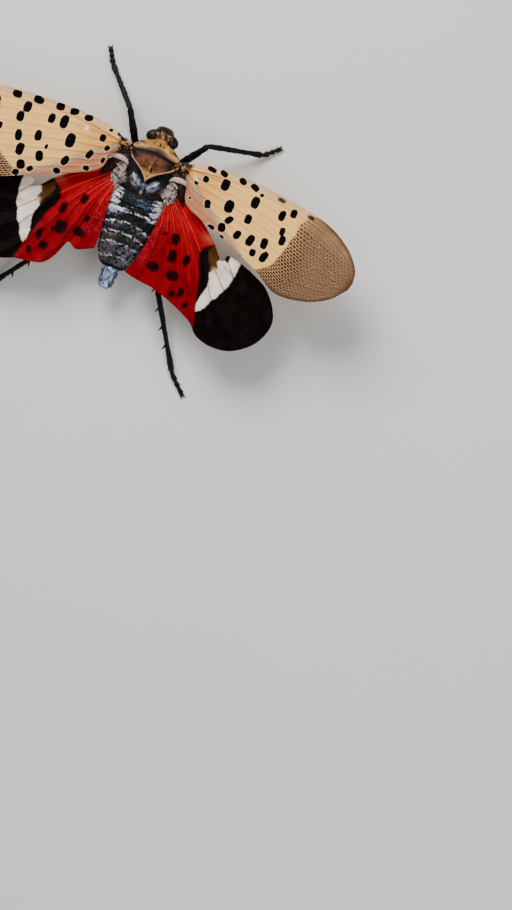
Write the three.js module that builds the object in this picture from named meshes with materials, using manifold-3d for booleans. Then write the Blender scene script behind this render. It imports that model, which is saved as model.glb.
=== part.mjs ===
// A life-size spotted lanternfly standing on six feet with all four wings spread.
// Sizes are in millimetres. +X is the animal's right, +Y its front and +Z up, and the floor is z = 0.
import * as THREE from "three";
import { mergeVertices } from "three/addons/utils/BufferGeometryUtils.js";
import Module from "manifold-3d";

const wasm = await Module();
wasm.setup();

// Sizes that many pieces share
const GAP = 0.3; // clear space between neighbouring pieces
const PLATE = 0.5; // thickness of a plate of the back
const MEMBRANE = 0.5; // thickness of a wing
const VEIN = 0.14; // height of a vein above its membrane
const WING_ROOTS_AHEAD = 5.75; // from the middle of the footprint to the middle of the thorax
const BODY_MIDDLE = 4.2; // height of the thorax's widest line
const SECTION_POWER = 3; // a thorax section is a superellipse, squarer than an ellipse

// Each row of the thorax: distance forward, half width, height of the back, height of the breast
const THORAX = [
  [2.3, 1.65, 5.15, 3.2],
  [1.8, 2.0, 5.35, 3.0],
  [1.2, 2.3, 5.55, 2.75],
  [0.5, 2.55, 5.7, 2.6],
  [-0.4, 2.68, 5.75, 2.6],
  [-1.6, 2.7, 5.7, 2.6],
  [-2.6, 2.65, 5.45, 2.65],
  [-3.4, 2.4, 5.1, 2.8],
];
const BREAST = 2.6; // the lowest height of the thorax, which the legs hang from

// Each row of the head: distance forward, half width, height of the top, height of the underside
const HEAD = [
  [2.6, 0.78, 5.05, 3.3],
  [3.0, 0.86, 5.25, 3.2],
  [3.5, 0.88, 5.42, 3.25],
  [3.9, 0.86, 5.34, 3.45],
  [4.2, 0.7, 5.12, 3.8],
  [4.42, 0.38, 4.8, 4.25],
];

// Each level of the face from the forehead down: distance forward, height, half width, half depth
const FACE = [
  [3.7, 4.5, 0.74, 0.6],
  [3.72, 4.0, 0.84, 0.55],
  [3.6, 3.5, 0.78, 0.48],
  [3.36, 3.0, 0.56, 0.4],
  [3.1, 2.56, 0.34, 0.3],
];

// Each ring of the abdomen: distance forward, half width, height of its middle line
const ABDOMEN = [
  [-3.7, 2.3, 3.85],
  [-4.4, 2.58, 3.8],
  [-5.7, 2.62, 3.75],
  [-7.0, 2.58, 3.7],
  [-8.2, 2.48, 3.65],
  [-9.4, 2.3, 3.55],
  [-10.6, 1.95, 3.45],
  [-11.5, 1.4, 3.4],
  [-11.9, 0.95, 3.4],
];
const ABDOMEN_BANDS = [-4.4, -5.7, -7.0, -8.15, -9.3, -10.45, -11.4]; // rear edge of each ring plate
const ABDOMEN_STEP = 0.12; // how far a plate stands out over the one behind it

// Forewing margins from the hinge outward, as [outward, forward] in the wing's own frame. Both margins
// have their points at like distances, so that each row of the wing runs straight from one to the other.
const FOREWING_LEAD = [
  [0, 0.35], [0.8, 0.75], [2.2, 1.8], [5.5, 2.85], [9.5, 3.5],
  [13.5, 3.93], [17.0, 3.98], [20.0, 3.15], [22.0, 1.75], [22.68, 0.35],
];
const FOREWING_REAR = {
  left: [
    [0, -0.35], [1.6, -1.1], [2.7, -3.0], [5.5, -3.95], [9.5, -4.85],
    [13.3, -5.7], [16.3, -5.9], [19.3, -4.6], [21.5, -2.7], [22.65, -0.6],
  ],
  right: [
    [0, -0.35], [1.5, -1.0], [2.7, -2.9], [5.5, -3.52], [9.5, -3.95],
    [13.3, -4.6], [16.3, -5.4], [19.3, -4.4], [21.5, -2.65], [22.65, -0.6],
  ],
};
const FOREWING_VEINS = [0.1, 0.22, 0.36, 0.5, 0.64, 0.77, 0.89]; // share of the way to the rear margin
const FOREWING_HINGE = { x: 3.05, y: 0.95, z: 5.85 };
const FOREWING_LIFT = 5; // degrees that the wing rises outward
const FOREWING_CROWN = 0.35; // height of the wing's gentle arch
const FOREWING_SWEEP = { left: 12.2, right: 13.4 }; // degrees that the wing leans back

// Hindwing margins as [outward, forward] in the animal's frame
const HINDWING_ROOT = [[3.05, -1.15], [3.05, -1.75], [3.05, -2.4], [3.0, -3.05]];
const HINDWING_COSTA = [
  [3.05, -1.15], [4.9, -2.0], [7.0, -3.4], [8.7, -4.9], [9.3, -5.9],
  [10.2, -6.75], [11.15, -6.8], [11.4, -6.1], [12.8, -6.3], [14.4, -6.8],
];
const HINDWING_TIP = [
  [14.4, -6.8], [16.5, -7.85], [18.1, -9.7], [18.6, -11.6], [17.7, -13.9], [15.6, -15.6], [13.3, -16.0],
  [11.4, -15.5],
];
const HINDWING_LOBES = {
  left: [[10.1, -15.0], [8.6, -14.75], [7.1, -14.3], [6.1, -13.0], [5.4, -11.2], [4.2, -11.6], [2.45, -10.75]],
  right: [[10.2, -14.4], [8.6, -13.6], [6.9, -12.95], [5.2, -12.45], [3.9, -12.3], [2.7, -12.15], [1.65, -11.9]],
};
const HINDWING_INNER = {
  left: [[3.0, -3.05], [2.95, -5.0], [2.8, -6.9], [2.55, -8.7], [2.45, -10.75]],
  right: [[3.0, -3.05], [2.95, -5.0], [2.85, -7.0], [2.6, -9.2], [1.65, -11.9]],
};
const HINDWING_VEINS = [0.08, 0.2, 0.33, 0.46, 0.58, 0.7, 0.81, 0.92]; // share of the fan
const HINDWING_HEIGHT = 4.75;
const HINDWING_LIFT = 2.5; // degrees that the wing rises outward
const HINDWING_PLEAT = 0.13; // half height of the fan's folds
const HINDWING_OVER_BODY = 0.3; // how far the inner margin rises over the abdomen

// Each leg: where its hip, knee, ankle and toe lie, as [outward, forward, up]
const LEGS = {
  front_left: { side: -1, hip: [2.0, 0.5, 1.95], knee: [4.6, 4.95, 4.0], ankle: [8.4, 9.0, 0.45], toe: [9.3, 10.55, 0.2] },
  front_right: { side: 1, hip: [2.0, 0.5, 1.95], knee: [4.9, 4.25, 4.0], ankle: [10.75, 5.85, 0.45], toe: [12.2, 7.2, 0.2] },
  middle_left: { side: -1, hip: [1.9, -0.95, 1.95], knee: [4.6, -3.4, 3.35], ankle: [8.6, -8.3, 0.45], toe: [9.8, -9.8, 0.2] },
  middle_right: { side: 1, hip: [1.9, -0.95, 1.95], knee: [4.6, -3.4, 3.35], ankle: [8.5, -8.4, 0.45], toe: [9.6, -10.0, 0.2] },
  hind_left: { side: -1, hip: [1.5, -2.75, 1.9], knee: [4.65, -8.8, 2.9], ankle: [12.1, -18.9, 0.45], toe: [14.6, -20.6, 0.2] },
  hind_right: { side: 1, hip: [1.5, -2.75, 1.9], knee: [4.0, -9.8, 2.9], ankle: [10.4, -20.2, 0.45], toe: [12.3, -22.0, 0.2] },
};
const LIMB_SIDES = 8;
const COXA = { radius: 0.52, drop: 0.62 };

// Half widths of each leg piece, as [share of its length, across, along the bend]
const FEMUR_SHAPE = [[0, 0.3, 0.3], [0.2, 0.38, 0.34], [0.55, 0.44, 0.38], [0.85, 0.36, 0.33], [1, 0.3, 0.3]];
const TIBIA_SHAPE = [[0, 0.3, 0.3], [0.15, 0.34, 0.29], [0.5, 0.31, 0.28], [0.85, 0.28, 0.26], [1, 0.27, 0.25]];
const TARSUS_SHAPE = [
  [0, 0.26, 0.26], [0.3, 0.31, 0.3], [0.38, 0.25, 0.27], [0.62, 0.3, 0.29], [0.7, 0.25, 0.27], [1, 0.29, 0.27],
];

// Shape tools

// The rows are sorted by their first value. The values between two rows follow a smooth curve.
function between(rows, at) {
  const rising = rows[rows.length - 1][0] > rows[0][0];
  let i = 0;
  while (i < rows.length - 2 && (rising ? at > rows[i + 1][0] : at < rows[i + 1][0])) i++;
  const before = rows[Math.max(i - 1, 0)];
  const [a, b] = [rows[i], rows[i + 1]];
  const after = rows[Math.min(i + 2, rows.length - 1)];
  const f = (at - a[0]) / (b[0] - a[0]);
  return a.map((value, k) => {
    const startSlope = ((b[k] - before[k]) / (b[0] - before[0])) * (b[0] - a[0]);
    const endSlope = ((after[k] - value) / (after[0] - a[0])) * (b[0] - a[0]);
    const rise = f * f * (3 - 2 * f);
    return value + (b[k] - value) * rise + f * (1 - f) * ((1 - f) * startSlope - f * endSlope);
  });
}

// A closed mesh of these points and triangles, with its faces turned outward.
function closedMesh(points, faces) {
  const volume = new THREE.Vector3();
  let sum = 0;
  for (let i = 0; i < faces.length; i += 3) {
    const [a, b, c] = faces.slice(i, i + 3).map((k) => points[k]);
    sum += a.dot(volume.crossVectors(b, c));
  }
  const outward = sum > 0 ? faces : faces.slice().reverse();
  return new THREE.BufferGeometry().setFromPoints(points).setIndex(outward);
}

// A tube through rings of points, with a fan over each end.
function tube(rings) {
  const sides = rings[0].length;
  const points = rings.flat();
  const faces = [];
  for (let r = 0; r < rings.length - 1; r++) {
    for (let k = 0; k < sides; k++) {
      const a = r * sides + k;
      const b = r * sides + ((k + 1) % sides);
      faces.push(a, b, a + sides, b, b + sides, a + sides);
    }
  }
  const cap = (start, turn) => {
    const middle = new THREE.Vector3();
    for (let k = 0; k < sides; k++) middle.addScaledVector(points[start + k], 1 / sides);
    points.push(middle);
    for (let k = 0; k < sides; k++) {
      const edge = [start + ((k + 1) % sides), start + k];
      faces.push(points.length - 1, ...(turn ? edge.reverse() : edge));
    }
  };
  cap(0, false);
  cap((rings.length - 1) * sides, true);
  return closedMesh(points, faces);
}

// The solid between two sheets of points, each a list of rows. Both faces are split alike.
function slab(upper, lower) {
  const rows = upper.length;
  const columns = upper[0].length;
  const below = rows * columns;
  const points = [...upper.flat(), ...lower.flat()];
  const faces = [];
  const at = (r, c) => r * columns + c;
  for (let r = 0; r < rows - 1; r++) {
    for (let c = 0; c < columns - 1; c++) {
      const [a, b, d, e] = [at(r, c), at(r, c + 1), at(r + 1, c), at(r + 1, c + 1)];
      faces.push(a, d, b, b, d, e);
      faces.push(a + below, b + below, d + below, b + below, e + below, d + below);
    }
  }
  const rim = [];
  for (let c = 0; c < columns - 1; c++) rim.push(at(0, c));
  for (let r = 0; r < rows - 1; r++) rim.push(at(r, columns - 1));
  for (let c = columns - 1; c > 0; c--) rim.push(at(rows - 1, c));
  for (let r = rows - 1; r > 0; r--) rim.push(at(r, 0));
  rim.forEach((a, i) => {
    const b = rim[(i + 1) % rim.length];
    faces.push(a, b, a + below, b, b + below, a + below);
  });
  return closedMesh(points, faces);
}

// One point of a superellipse. The angle runs from the top round to the side.
function sectionPoint(angle, halfWidth, up, down, power = 2) {
  const across = Math.sin(angle);
  const high = Math.cos(angle);
  const bend = (value) => Math.sign(value) * Math.abs(value) ** (2 / power);
  return { x: halfWidth * bend(across), z: (high > 0 ? up : down) * bend(high) };
}

// A body lengthwise along Y, whose section at each station comes from sizesAt: half width, middle, up, down.
function lengthwise(stations, sides, sizesAt, power) {
  return tube(
    stations.map((y) => {
      const { halfWidth, middle, up, down } = sizesAt(y);
      return Array.from({ length: sides }, (_, k) => {
        const p = sectionPoint((2 * Math.PI * k) / sides, halfWidth, up, down, power);
        return new THREE.Vector3(p.x, y, middle + p.z);
      });
    }),
  );
}

// A rounded lump with three half sizes.
function lump(x, y, z, [rx, ry, rz], turn = 0, detail = 10) {
  return new THREE.SphereGeometry(1, detail, Math.ceil(detail * 0.7))
    .scale(rx, ry, rz)
    .rotateZ(turn)
    .translate(x, y, z);
}

// A straight spike from its root to its tip.
function spike(root, tip, radius, sides = 5) {
  const way = tip.clone().sub(root);
  const turn = new THREE.Quaternion().setFromUnitVectors(new THREE.Vector3(0, 1, 0), way.clone().normalize());
  return new THREE.ConeGeometry(radius, way.length(), sides)
    .translate(0, way.length() / 2, 0)
    .applyQuaternion(turn)
    .translate(root.x, root.y, root.z);
}

// Joining and cutting

function toSolid(geometry) {
  const bare = geometry.clone();
  for (const name of Object.keys(bare.attributes)) {
    if (name !== "position") bare.deleteAttribute(name);
  }
  const merged = mergeVertices(bare, 1e-4);
  const triVerts = new Uint32Array(merged.index.array);
  return new wasm.Manifold(
    new wasm.Mesh({ numProp: 3, vertProperties: merged.attributes.position.array, triVerts }),
  );
}

function toGeometry(solid) {
  const mesh = solid.getMesh();
  return new THREE.BufferGeometry()
    .setAttribute("position", new THREE.BufferAttribute(new Float32Array(mesh.vertProperties), 3))
    .setIndex(Array.from(mesh.triVerts));
}

// The largest closed body of a solid.
function largest(solid) {
  const bodies = solid.decompose();
  return bodies.reduce((best, body) => (body.volume() > best.volume() ? body : best));
}

function join(...geometries) {
  const joined = geometries.map(toSolid).reduce((whole, piece) => whole.add(piece));
  return toGeometry(largest(joined));
}

function cut(geometry, ...tools) {
  const left = tools.map(toSolid).reduce((whole, tool) => whole.subtract(tool), toSolid(geometry));
  return toGeometry(largest(left));
}

// A large block on the far side of a plane that is square to one axis.
function halfSpace(axis, from, direction) {
  const reach = 60;
  const centre = new THREE.Vector3().setComponent(axis, from + (direction * reach) / 2);
  return new THREE.BoxGeometry(reach, reach, reach).translate(centre.x, centre.y, centre.z);
}

// The animal and its colours

const lanternfly = new THREE.Group();
lanternfly.position.y = WING_ROOTS_AHEAD;

const material = (color, roughness, metalness = 0) =>
  new THREE.MeshStandardMaterial({ color, roughness, metalness });
const TAN = material(0xc79a5c, 0.6);
const SCUTELLUM_BROWN = material(0x6b4a2c, 0.55);
const BLACK = material(0x1b1a1d, 0.45);
const WAXY_GREY = material(0x55565e, 0.7);
const FOREWING_TAN = material(0xe3bd8e, 0.6);
const HINDWING_RED = material(0xb8141a, 0.55);
const EYE_BROWN = material(0x2a1712, 0.25);
const ORANGE = material(0xc8502a, 0.5);
const HEAD_BROWN = material(0x5f4326, 0.55);

function add(name, geometry, look) {
  const mesh = new THREE.Mesh(geometry, look);
  mesh.name = name;
  lanternfly.add(mesh);
  return mesh;
}

// Thorax: one block under the back plates, with two waxy lobes and a knob behind the scutellum

function thoraxSizes(y, grow = 0) {
  const [, halfWidth, top, bottom] = between(THORAX, y);
  return {
    halfWidth: halfWidth + grow,
    middle: BODY_MIDDLE,
    up: top - BODY_MIDDLE + grow,
    down: BODY_MIDDLE - bottom + grow,
  };
}

function makeThorax() {
  const stations = [2.3, 1.95, 1.6, 1.3, 1.0, 0.5, 0, -0.6, -1.2, -1.8, -2.4, -2.9, -3.4];
  const block = lengthwise(stations, 18, thoraxSizes, SECTION_POWER);
  const lobes = [-1, 1].map((side) => lump(side * 1.1, -2.15, 5.5, [0.34, 0.85, 0.34], -side * 0.6, 10));
  const knob = lump(0, -3.1, 5.25, [0.26, 0.3, 0.22], 0, 8);
  return join(block, ...lobes, knob);
}
add("thorax", makeThorax(), WAXY_GREY);

// Pronotum: the tan collar, a band bent over the front of the thorax

const COLLAR_SPAN = 1.75; // radians from the top of the section round to the collar's lower corner
const collarRear = (x) => 1.18 + 0.1 * Math.cos(x);
const collarFront = (x) => 2.86 - 0.28 * x - 0.0025 * x ** 5;

function makePronotum() {
  const across = 24;
  const lengthways = 5;
  const sheet = (grow) =>
    Array.from({ length: across + 1 }, (_, k) => {
      const angle = COLLAR_SPAN * ((2 * k) / across - 1);
      return Array.from({ length: lengthways + 1 }, (_, j) => {
        const reach = Math.abs(sectionPoint(angle, 2.6, 1, 1, SECTION_POWER).x);
        const low = Math.max(0, Math.abs(angle) - 1.2) * 0.3;
        const rear = collarRear(reach) + low * 0.3;
        const y = rear + (Math.max(collarFront(reach) - low, rear + 0.3) - rear) * (j / lengthways);
        const { halfWidth, up, down } = thoraxSizes(y, grow);
        const p = sectionPoint(angle, halfWidth, up, down, SECTION_POWER);
        return new THREE.Vector3(p.x, y, BODY_MIDDLE + p.z);
      });
    });
  return slab(sheet(GAP + PLATE), sheet(GAP));
}
add("pronotum", makePronotum(), TAN);

// Mesonotum: the shield behind the collar, with a keel and a raised rim, running to a point

const SHIELD = [
  [0.85, 2.3], [0.55, 2.62], [0.2, 2.56], [-0.1, 2.25], [-0.5, 1.65], [-1.0, 0.95], [-1.5, 0.42], [-1.95, 0.08],
];
const KEEL = 0.14;
const RIM = 0.08;

function makeMesonotum() {
  const halfColumns = 6;
  const rows = 11;
  const sheet = (grow, raised) =>
    Array.from({ length: rows + 1 }, (_, j) => {
      const y = 0.85 + (-1.95 - 0.85) * (j / rows);
      const [, halfWidth] = between(SHIELD, y);
      return Array.from({ length: 2 * halfColumns + 1 }, (_, k) => {
        const share = k / halfColumns - 1;
        const x = halfWidth * share;
        const section = thoraxSizes(y, grow);
        const high = (1 - Math.abs(x / section.halfWidth) ** SECTION_POWER) ** (1 / SECTION_POWER);
        const extra = raised * ((share === 0 ? KEEL : 0) + (Math.abs(share) === 1 ? RIM : 0));
        return new THREE.Vector3(x, y, BODY_MIDDLE + section.up * high + extra);
      });
    });
  return slab(sheet(GAP + PLATE, 1), sheet(GAP, 0));
}
add("mesonotum", makeMesonotum(), SCUTELLUM_BROWN);

// Head: a capsule with three blunt knobs in front and the wedge of the face below

function makeHead() {
  const sizes = (y) => {
    const [, halfWidth, top, bottom] = between(HEAD, y);
    const middle = (top + bottom) / 2;
    return { halfWidth, middle, up: top - middle, down: middle - bottom };
  };
  const capsule = lengthwise([2.6, 2.8, 3.0, 3.25, 3.5, 3.7, 3.9, 4.08, 4.24, 4.35, 4.4], 18, sizes, 2.6);
  const knobs = [
    lump(-0.45, 3.98, 5.1, [0.26, 0.28, 0.26], 0, 8),
    lump(0.45, 3.98, 5.1, [0.26, 0.28, 0.26], 0, 8),
    lump(0, 4.24, 4.85, [0.26, 0.26, 0.3], 0, 8),
  ];
  const face = tube(
    FACE.map(([y, z, wide, deep]) =>
      Array.from({ length: 12 }, (_, k) => {
        const angle = (2 * Math.PI * k) / 12;
        return new THREE.Vector3(wide * Math.sin(angle), y + deep * Math.cos(angle), z);
      }),
    ),
  );
  return join(capsule, ...knobs, face);
}
add("head", makeHead(), HEAD_BROWN);

// Eyes, each a dome on the flat side of the head, and the feelers below them

const EYE = { x: 0.88 + GAP, y: 3.1, z: 4.62, bulge: 0.66, radius: 0.64 };
const FEELER = { y: 3.2, z: 3.66, radius: 0.3, length: 0.75, bristle: 1.3 };

for (const [name, side] of [["left", -1], ["right", 1]]) {
  const ball = lump(side * EYE.x, EYE.y, EYE.z, [EYE.bulge, EYE.radius, EYE.radius * 0.88], side * 0.15, 16);
  add(`eye_${name}`, cut(ball, halfSpace(0, side * EYE.x, -side)), EYE_BROWN);

  const root = new THREE.Vector3(side * EYE.x, FEELER.y, FEELER.z);
  const way = new THREE.Vector3(side * 0.5, 0.3, -0.8).normalize();
  const knob = lump(0, 0, 0, [FEELER.radius, FEELER.radius, FEELER.length * 0.62], 0, 10)
    .applyQuaternion(new THREE.Quaternion().setFromUnitVectors(new THREE.Vector3(0, 0, 1), way))
    .translate(...root.clone().addScaledVector(way, FEELER.length * 0.4).toArray());
  const bristle = spike(
    root.clone().addScaledVector(way, FEELER.length * 0.6),
    root.clone().addScaledVector(way, FEELER.length + FEELER.bristle),
    0.16,
    6,
  );
  add(`antenna_${name}`, cut(join(knob, bristle), halfSpace(0, side * EYE.x, -side)), ORANGE);
}

// Beak: the sucking tube, laid back under the breast from the face to behind the hips

const BEAK_ROUTE = [[2.88, 2.0, 0.28], [2.2, 2.0, 0.27], [-0.5, 2.0, 0.26], [-2.8, 1.98, 0.25], [-3.9, 1.95, 0.14]];
add(
  "beak",
  tube(
    BEAK_ROUTE.map(([y, z, radius]) =>
      Array.from({ length: LIMB_SIDES }, (_, k) => {
        const angle = (2 * Math.PI * k) / LIMB_SIDES;
        return new THREE.Vector3(radius * Math.sin(angle), y, z + radius * Math.cos(angle));
      }),
    ),
  ),
  BLACK,
);

// Abdomen: ring plates that each step down to the next, and the small tail segment behind

function makeAbdomen() {
  const stations = [];
  let start = ABDOMEN[0][0];
  for (const edge of [...ABDOMEN_BANDS, ABDOMEN[ABDOMEN.length - 1][0]]) {
    stations.push({ y: start, out: 0 });
    stations.push({ y: start + (edge - start) * 0.45, out: ABDOMEN_STEP * 0.5 });
    stations.push({ y: edge + 0.08, out: ABDOMEN_STEP });
    start = edge;
  }
  const sides = 18;
  const rings = stations.map(({ y, out }) => {
    const [, halfWidth, middle] = between(ABDOMEN, y);
    const up = 0.63 * halfWidth + out;
    const down = 0.5 * halfWidth + out;
    return Array.from({ length: sides }, (_, k) => {
      const p = sectionPoint((2 * Math.PI * k) / sides, halfWidth + out * 0.6, up, down, 2.2);
      return new THREE.Vector3(p.x, y, middle + p.z);
    });
  });
  return tube(rings);
}
add("abdomen", makeAbdomen(), WAXY_GREY);

const TAIL = [
  [-12.2, 0.7, 0.5], [-12.5, 0.82, 0.55], [-13.1, 0.72, 0.5], [-13.7, 0.74, 0.42], [-14.1, 0.62, 0.32], [-14.35, 0.4, 0.26],
];
add(
  "tail_segment",
  lengthwise(TAIL.map((row) => row[0]), 14, (y) => {
    const [, halfWidth, high] = between(TAIL, y);
    return { halfWidth, middle: 3.4, up: high, down: high };
  }, 2.2),
  WAXY_GREY,
);

// Wings

const curve = (points) => new THREE.CatmullRomCurve3(points.map(([x, y]) => new THREE.Vector3(x, y, 0)));

// The columns of a wing's grid: its two margins, each vein's crest and two feet, and the furrows between
// veins where the wing is pleated. The fold runs from 1 on a vein to -1 in a furrow.
function veinColumns(veins, halfWidth, pleated) {
  const columns = [{ t: 0, fold: 0 }];
  veins.forEach((t, i) => {
    if (pleated && i > 0) columns.push({ t: (veins[i - 1] + t) / 2, fold: -1 });
    columns.push({ t: t - halfWidth, fold: 0.7 }, { t, fold: 1, crest: true }, { t: t + halfWidth, fold: 0.7 });
  });
  columns.push({ t: 1, fold: 0 });
  return columns;
}

// A wing from its surface: place(s, t, fold) gives a point of the middle sheet, s outward and t rearward.
function wing(side, steps, columns, place) {
  const sheet = (offset, ridge) =>
    Array.from({ length: steps + 1 }, (_, i) => {
      const s = i / steps;
      const thin = s > 0.93 ? 0.75 : 1;
      return columns.map(({ t, fold, crest }) => {
        const p = place(s, t, fold);
        const veinHeight = crest ? ridge * Math.min(1, 4 * (1 - s)) : 0;
        return new THREE.Vector3(side * p.x, p.y, p.z + offset * thin + veinHeight);
      });
    });
  return slab(sheet(MEMBRANE / 2, VEIN), sheet(-MEMBRANE / 2, 0));
}

function makeForewing(side, name) {
  const lead = curve(FOREWING_LEAD);
  const rear = curve(FOREWING_REAR[name]);
  const columns = veinColumns(FOREWING_VEINS, 0.03, false);
  return wing(side, 18, columns, (s, t) => {
    const p = lead.getPoint(s).lerp(rear.getPoint(s), t);
    p.z = FOREWING_CROWN * Math.sin(Math.PI * Math.min(1, 0.15 + t * 0.85)) * Math.sin(Math.PI * s) ** 0.7;
    return p;
  });
}

// A Coons patch over the hindwing's four margins, folded like a fan.
function makeHindwing(side, name) {
  const root = curve(HINDWING_ROOT);
  const outer = curve([...HINDWING_TIP, ...HINDWING_LOBES[name]]);
  const costa = curve(HINDWING_COSTA);
  const inner = curve(HINDWING_INNER[name]);
  const corner = (s, t) => (s ? outer.getPoint(t) : root.getPoint(t));
  const columns = veinColumns(HINDWING_VEINS, 0.018, true);
  const rise = Math.tan(THREE.MathUtils.degToRad(HINDWING_LIFT));
  return wing(side, 12, columns, (s, t, fold) => {
    const p = costa.getPoint(s).multiplyScalar(1 - t);
    p.addScaledVector(inner.getPoint(s), t);
    p.addScaledVector(root.getPoint(t), 1 - s);
    p.addScaledVector(outer.getPoint(t), s);
    p.addScaledVector(corner(0, 0), -(1 - s) * (1 - t));
    p.addScaledVector(corner(0, 1), -(1 - s) * t);
    p.addScaledVector(corner(1, 0), -s * (1 - t));
    p.addScaledVector(corner(1, 1), -s * t);
    p.z = HINDWING_HEIGHT + rise * (p.x - HINDWING_ROOT[0][0]) + HINDWING_OVER_BODY * t ** 3;
    p.z += HINDWING_PLEAT * fold * Math.min(1, 1.5 * s);
    return p;
  });
}

// The thick root of a hindwing, and in front of it the pale crescent plate that reaches in over the thorax.
function hindwingShoulder(side) {
  const knuckle = lump(side * 3.72, -1.45, 4.95, [0.66, 1.2, 0.55], 0, 12);
  const crescent = lump(side * 3.42, -0.62, 5.25, [0.98, 0.38, 0.4], 0, 12);
  return join(knuckle, crescent);
}

for (const [name, side] of [["left", -1], ["right", 1]]) {
  const forewing = add(`forewing_${name}`, makeForewing(side, name), FOREWING_TAN);
  forewing.position.set(side * FOREWING_HINGE.x, FOREWING_HINGE.y, FOREWING_HINGE.z);
  forewing.rotation.order = "ZYX";
  forewing.rotation.z = -side * THREE.MathUtils.degToRad(FOREWING_SWEEP[name]);
  forewing.rotation.y = -side * THREE.MathUtils.degToRad(FOREWING_LIFT);

  add(`hindwing_${name}`, join(makeHindwing(side, name), hindwingShoulder(side)), HINDWING_RED);

  const tegula = cut(
    lump(side * 3.0, 0.95, FOREWING_HINGE.z + 0.55, [0.95, 0.62, 0.62], 0, 12),
    halfSpace(2, FOREWING_HINGE.z + MEMBRANE / 2 + VEIN + GAP, -1),
    halfSpace(0, side * 2.98, -side),
  );
  add(`tegula_${name}`, tegula, TAN);
}

// Legs

const at = (side, [x, y, z]) => new THREE.Vector3(side * x, y, z);

// A limb piece between two points. Each end lies on its own plane, so that two pieces meet face to face.
function limb(from, to, shape, startPlane, endPlane) {
  const way = to.clone().sub(from);
  const along = way.clone().normalize();
  const across = new THREE.Vector3(0, 0, 1).cross(along).normalize();
  const over = along.clone().cross(across);
  const ring = ([share, wide, deep]) =>
    Array.from({ length: LIMB_SIDES }, (_, k) => {
      const angle = (2 * Math.PI * (k + 0.5)) / LIMB_SIDES;
      return from
        .clone()
        .addScaledVector(way, share)
        .addScaledVector(across, wide * Math.cos(angle))
        .addScaledVector(over, deep * Math.sin(angle));
    });
  const rings = shape.map(ring);
  const slide = (p, plane) => p.addScaledVector(along, -plane.distanceToPoint(p) / plane.normal.dot(along));
  rings[0].forEach((p) => slide(p, startPlane));
  rings[rings.length - 1].forEach((p) => slide(p, endPlane));
  return rings;
}

// The two faces of a cut across a joint, half a gap to each side of it.
function jointPlanes(before, joint, after) {
  const normal = joint.clone().sub(before).normalize().add(after.clone().sub(joint).normalize()).normalize();
  const face = (shift) =>
    new THREE.Plane().setFromNormalAndCoplanarPoint(normal, joint.clone().addScaledVector(normal, shift));
  return { near: face(-GAP / 2), far: face(GAP / 2) };
}

const squareEnd = (from, to, point) =>
  new THREE.Plane().setFromNormalAndCoplanarPoint(to.clone().sub(from).normalize(), point);

// Two hooked claws at the end of a foot.
function claws(ankle, toe) {
  const along = toe.clone().sub(ankle).setZ(0).normalize();
  const across = new THREE.Vector3(-along.y, along.x, 0);
  return [-1, 1].map((hand) => {
    const root = toe.clone().addScaledVector(along, -0.12).addScaledVector(across, hand * 0.1);
    const tip = toe.clone().addScaledVector(along, 0.42).addScaledVector(across, hand * 0.3).setZ(0.14);
    return spike(root, tip, 0.13);
  });
}

// Spines along the outer side of a hind shin, and a crown of shorter ones at its end.
function shinSpines(side, knee, ankle) {
  const way = ankle.clone().sub(knee);
  const along = way.clone().normalize();
  const outward = new THREE.Vector3(0, 0, -side).cross(along).normalize();
  const lateral = [0.22, 0.4, 0.57, 0.74].map((share) => {
    const root = knee.clone().addScaledVector(way, share);
    const tip = root.clone().addScaledVector(outward, 0.72).addScaledVector(along, 0.42);
    return spike(root, tip, 0.17);
  });
  const crown = [-0.9, 0.3, 1.4].map((turn) => {
    const root = knee.clone().addScaledVector(way, 0.93);
    const lean = outward.clone().applyAxisAngle(along, turn * side);
    const tip = root.clone().addScaledVector(lean, 0.5).addScaledVector(along, 0.34);
    return spike(root, tip, 0.15);
  });
  return [...lateral, ...crown];
}

for (const [name, leg] of Object.entries(LEGS)) {
  const hip = at(leg.side, leg.hip);
  const knee = at(leg.side, leg.knee);
  const ankle = at(leg.side, leg.ankle);
  const toe = at(leg.side, leg.toe);
  const atKnee = jointPlanes(hip, knee, ankle);
  const atAnkle = jointPlanes(knee, ankle, toe);

  const coxaTop = BREAST - GAP;
  const coxa = new THREE.CylinderGeometry(COXA.radius, COXA.radius * 0.72, COXA.drop, 10)
    .rotateX(Math.PI / 2)
    .translate(hip.x, hip.y, coxaTop - COXA.drop / 2);
  const thigh = tube(limb(hip, knee, FEMUR_SHAPE, squareEnd(hip, knee, hip), atKnee.near));
  add(`${name}_femur`, join(thigh, coxa), BLACK);

  const shin = tube(limb(knee, ankle, TIBIA_SHAPE, atKnee.far, atAnkle.near));
  const spines = name.startsWith("hind") ? shinSpines(leg.side, knee, ankle) : [];
  add(`${name}_tibia`, join(shin, ...spines), BLACK);

  const footRings = limb(ankle, toe, TARSUS_SHAPE, atAnkle.far, squareEnd(ankle, toe, toe));
  footRings.flat().forEach((p) => p.setZ(Math.max(p.z, 0)));
  add(`${name}_tarsus`, join(tube(footRings), ...claws(ankle, toe)), BLACK);
}

export default lanternfly;
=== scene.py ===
# %% [markdown]
# # A spotted lanternfly with its wings spread
# The real insect is about 25 mm long and 50 mm across the spread wings. The solids that carry it are made
# and packed before this lesson. Here each of them gets the skin and the finish that the eye sees: netted
# and spotted wings, a waxy banded abdomen, a tan collar, dark spiny legs and glossy faceted eyes.

# %% Load the frame
import math

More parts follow.
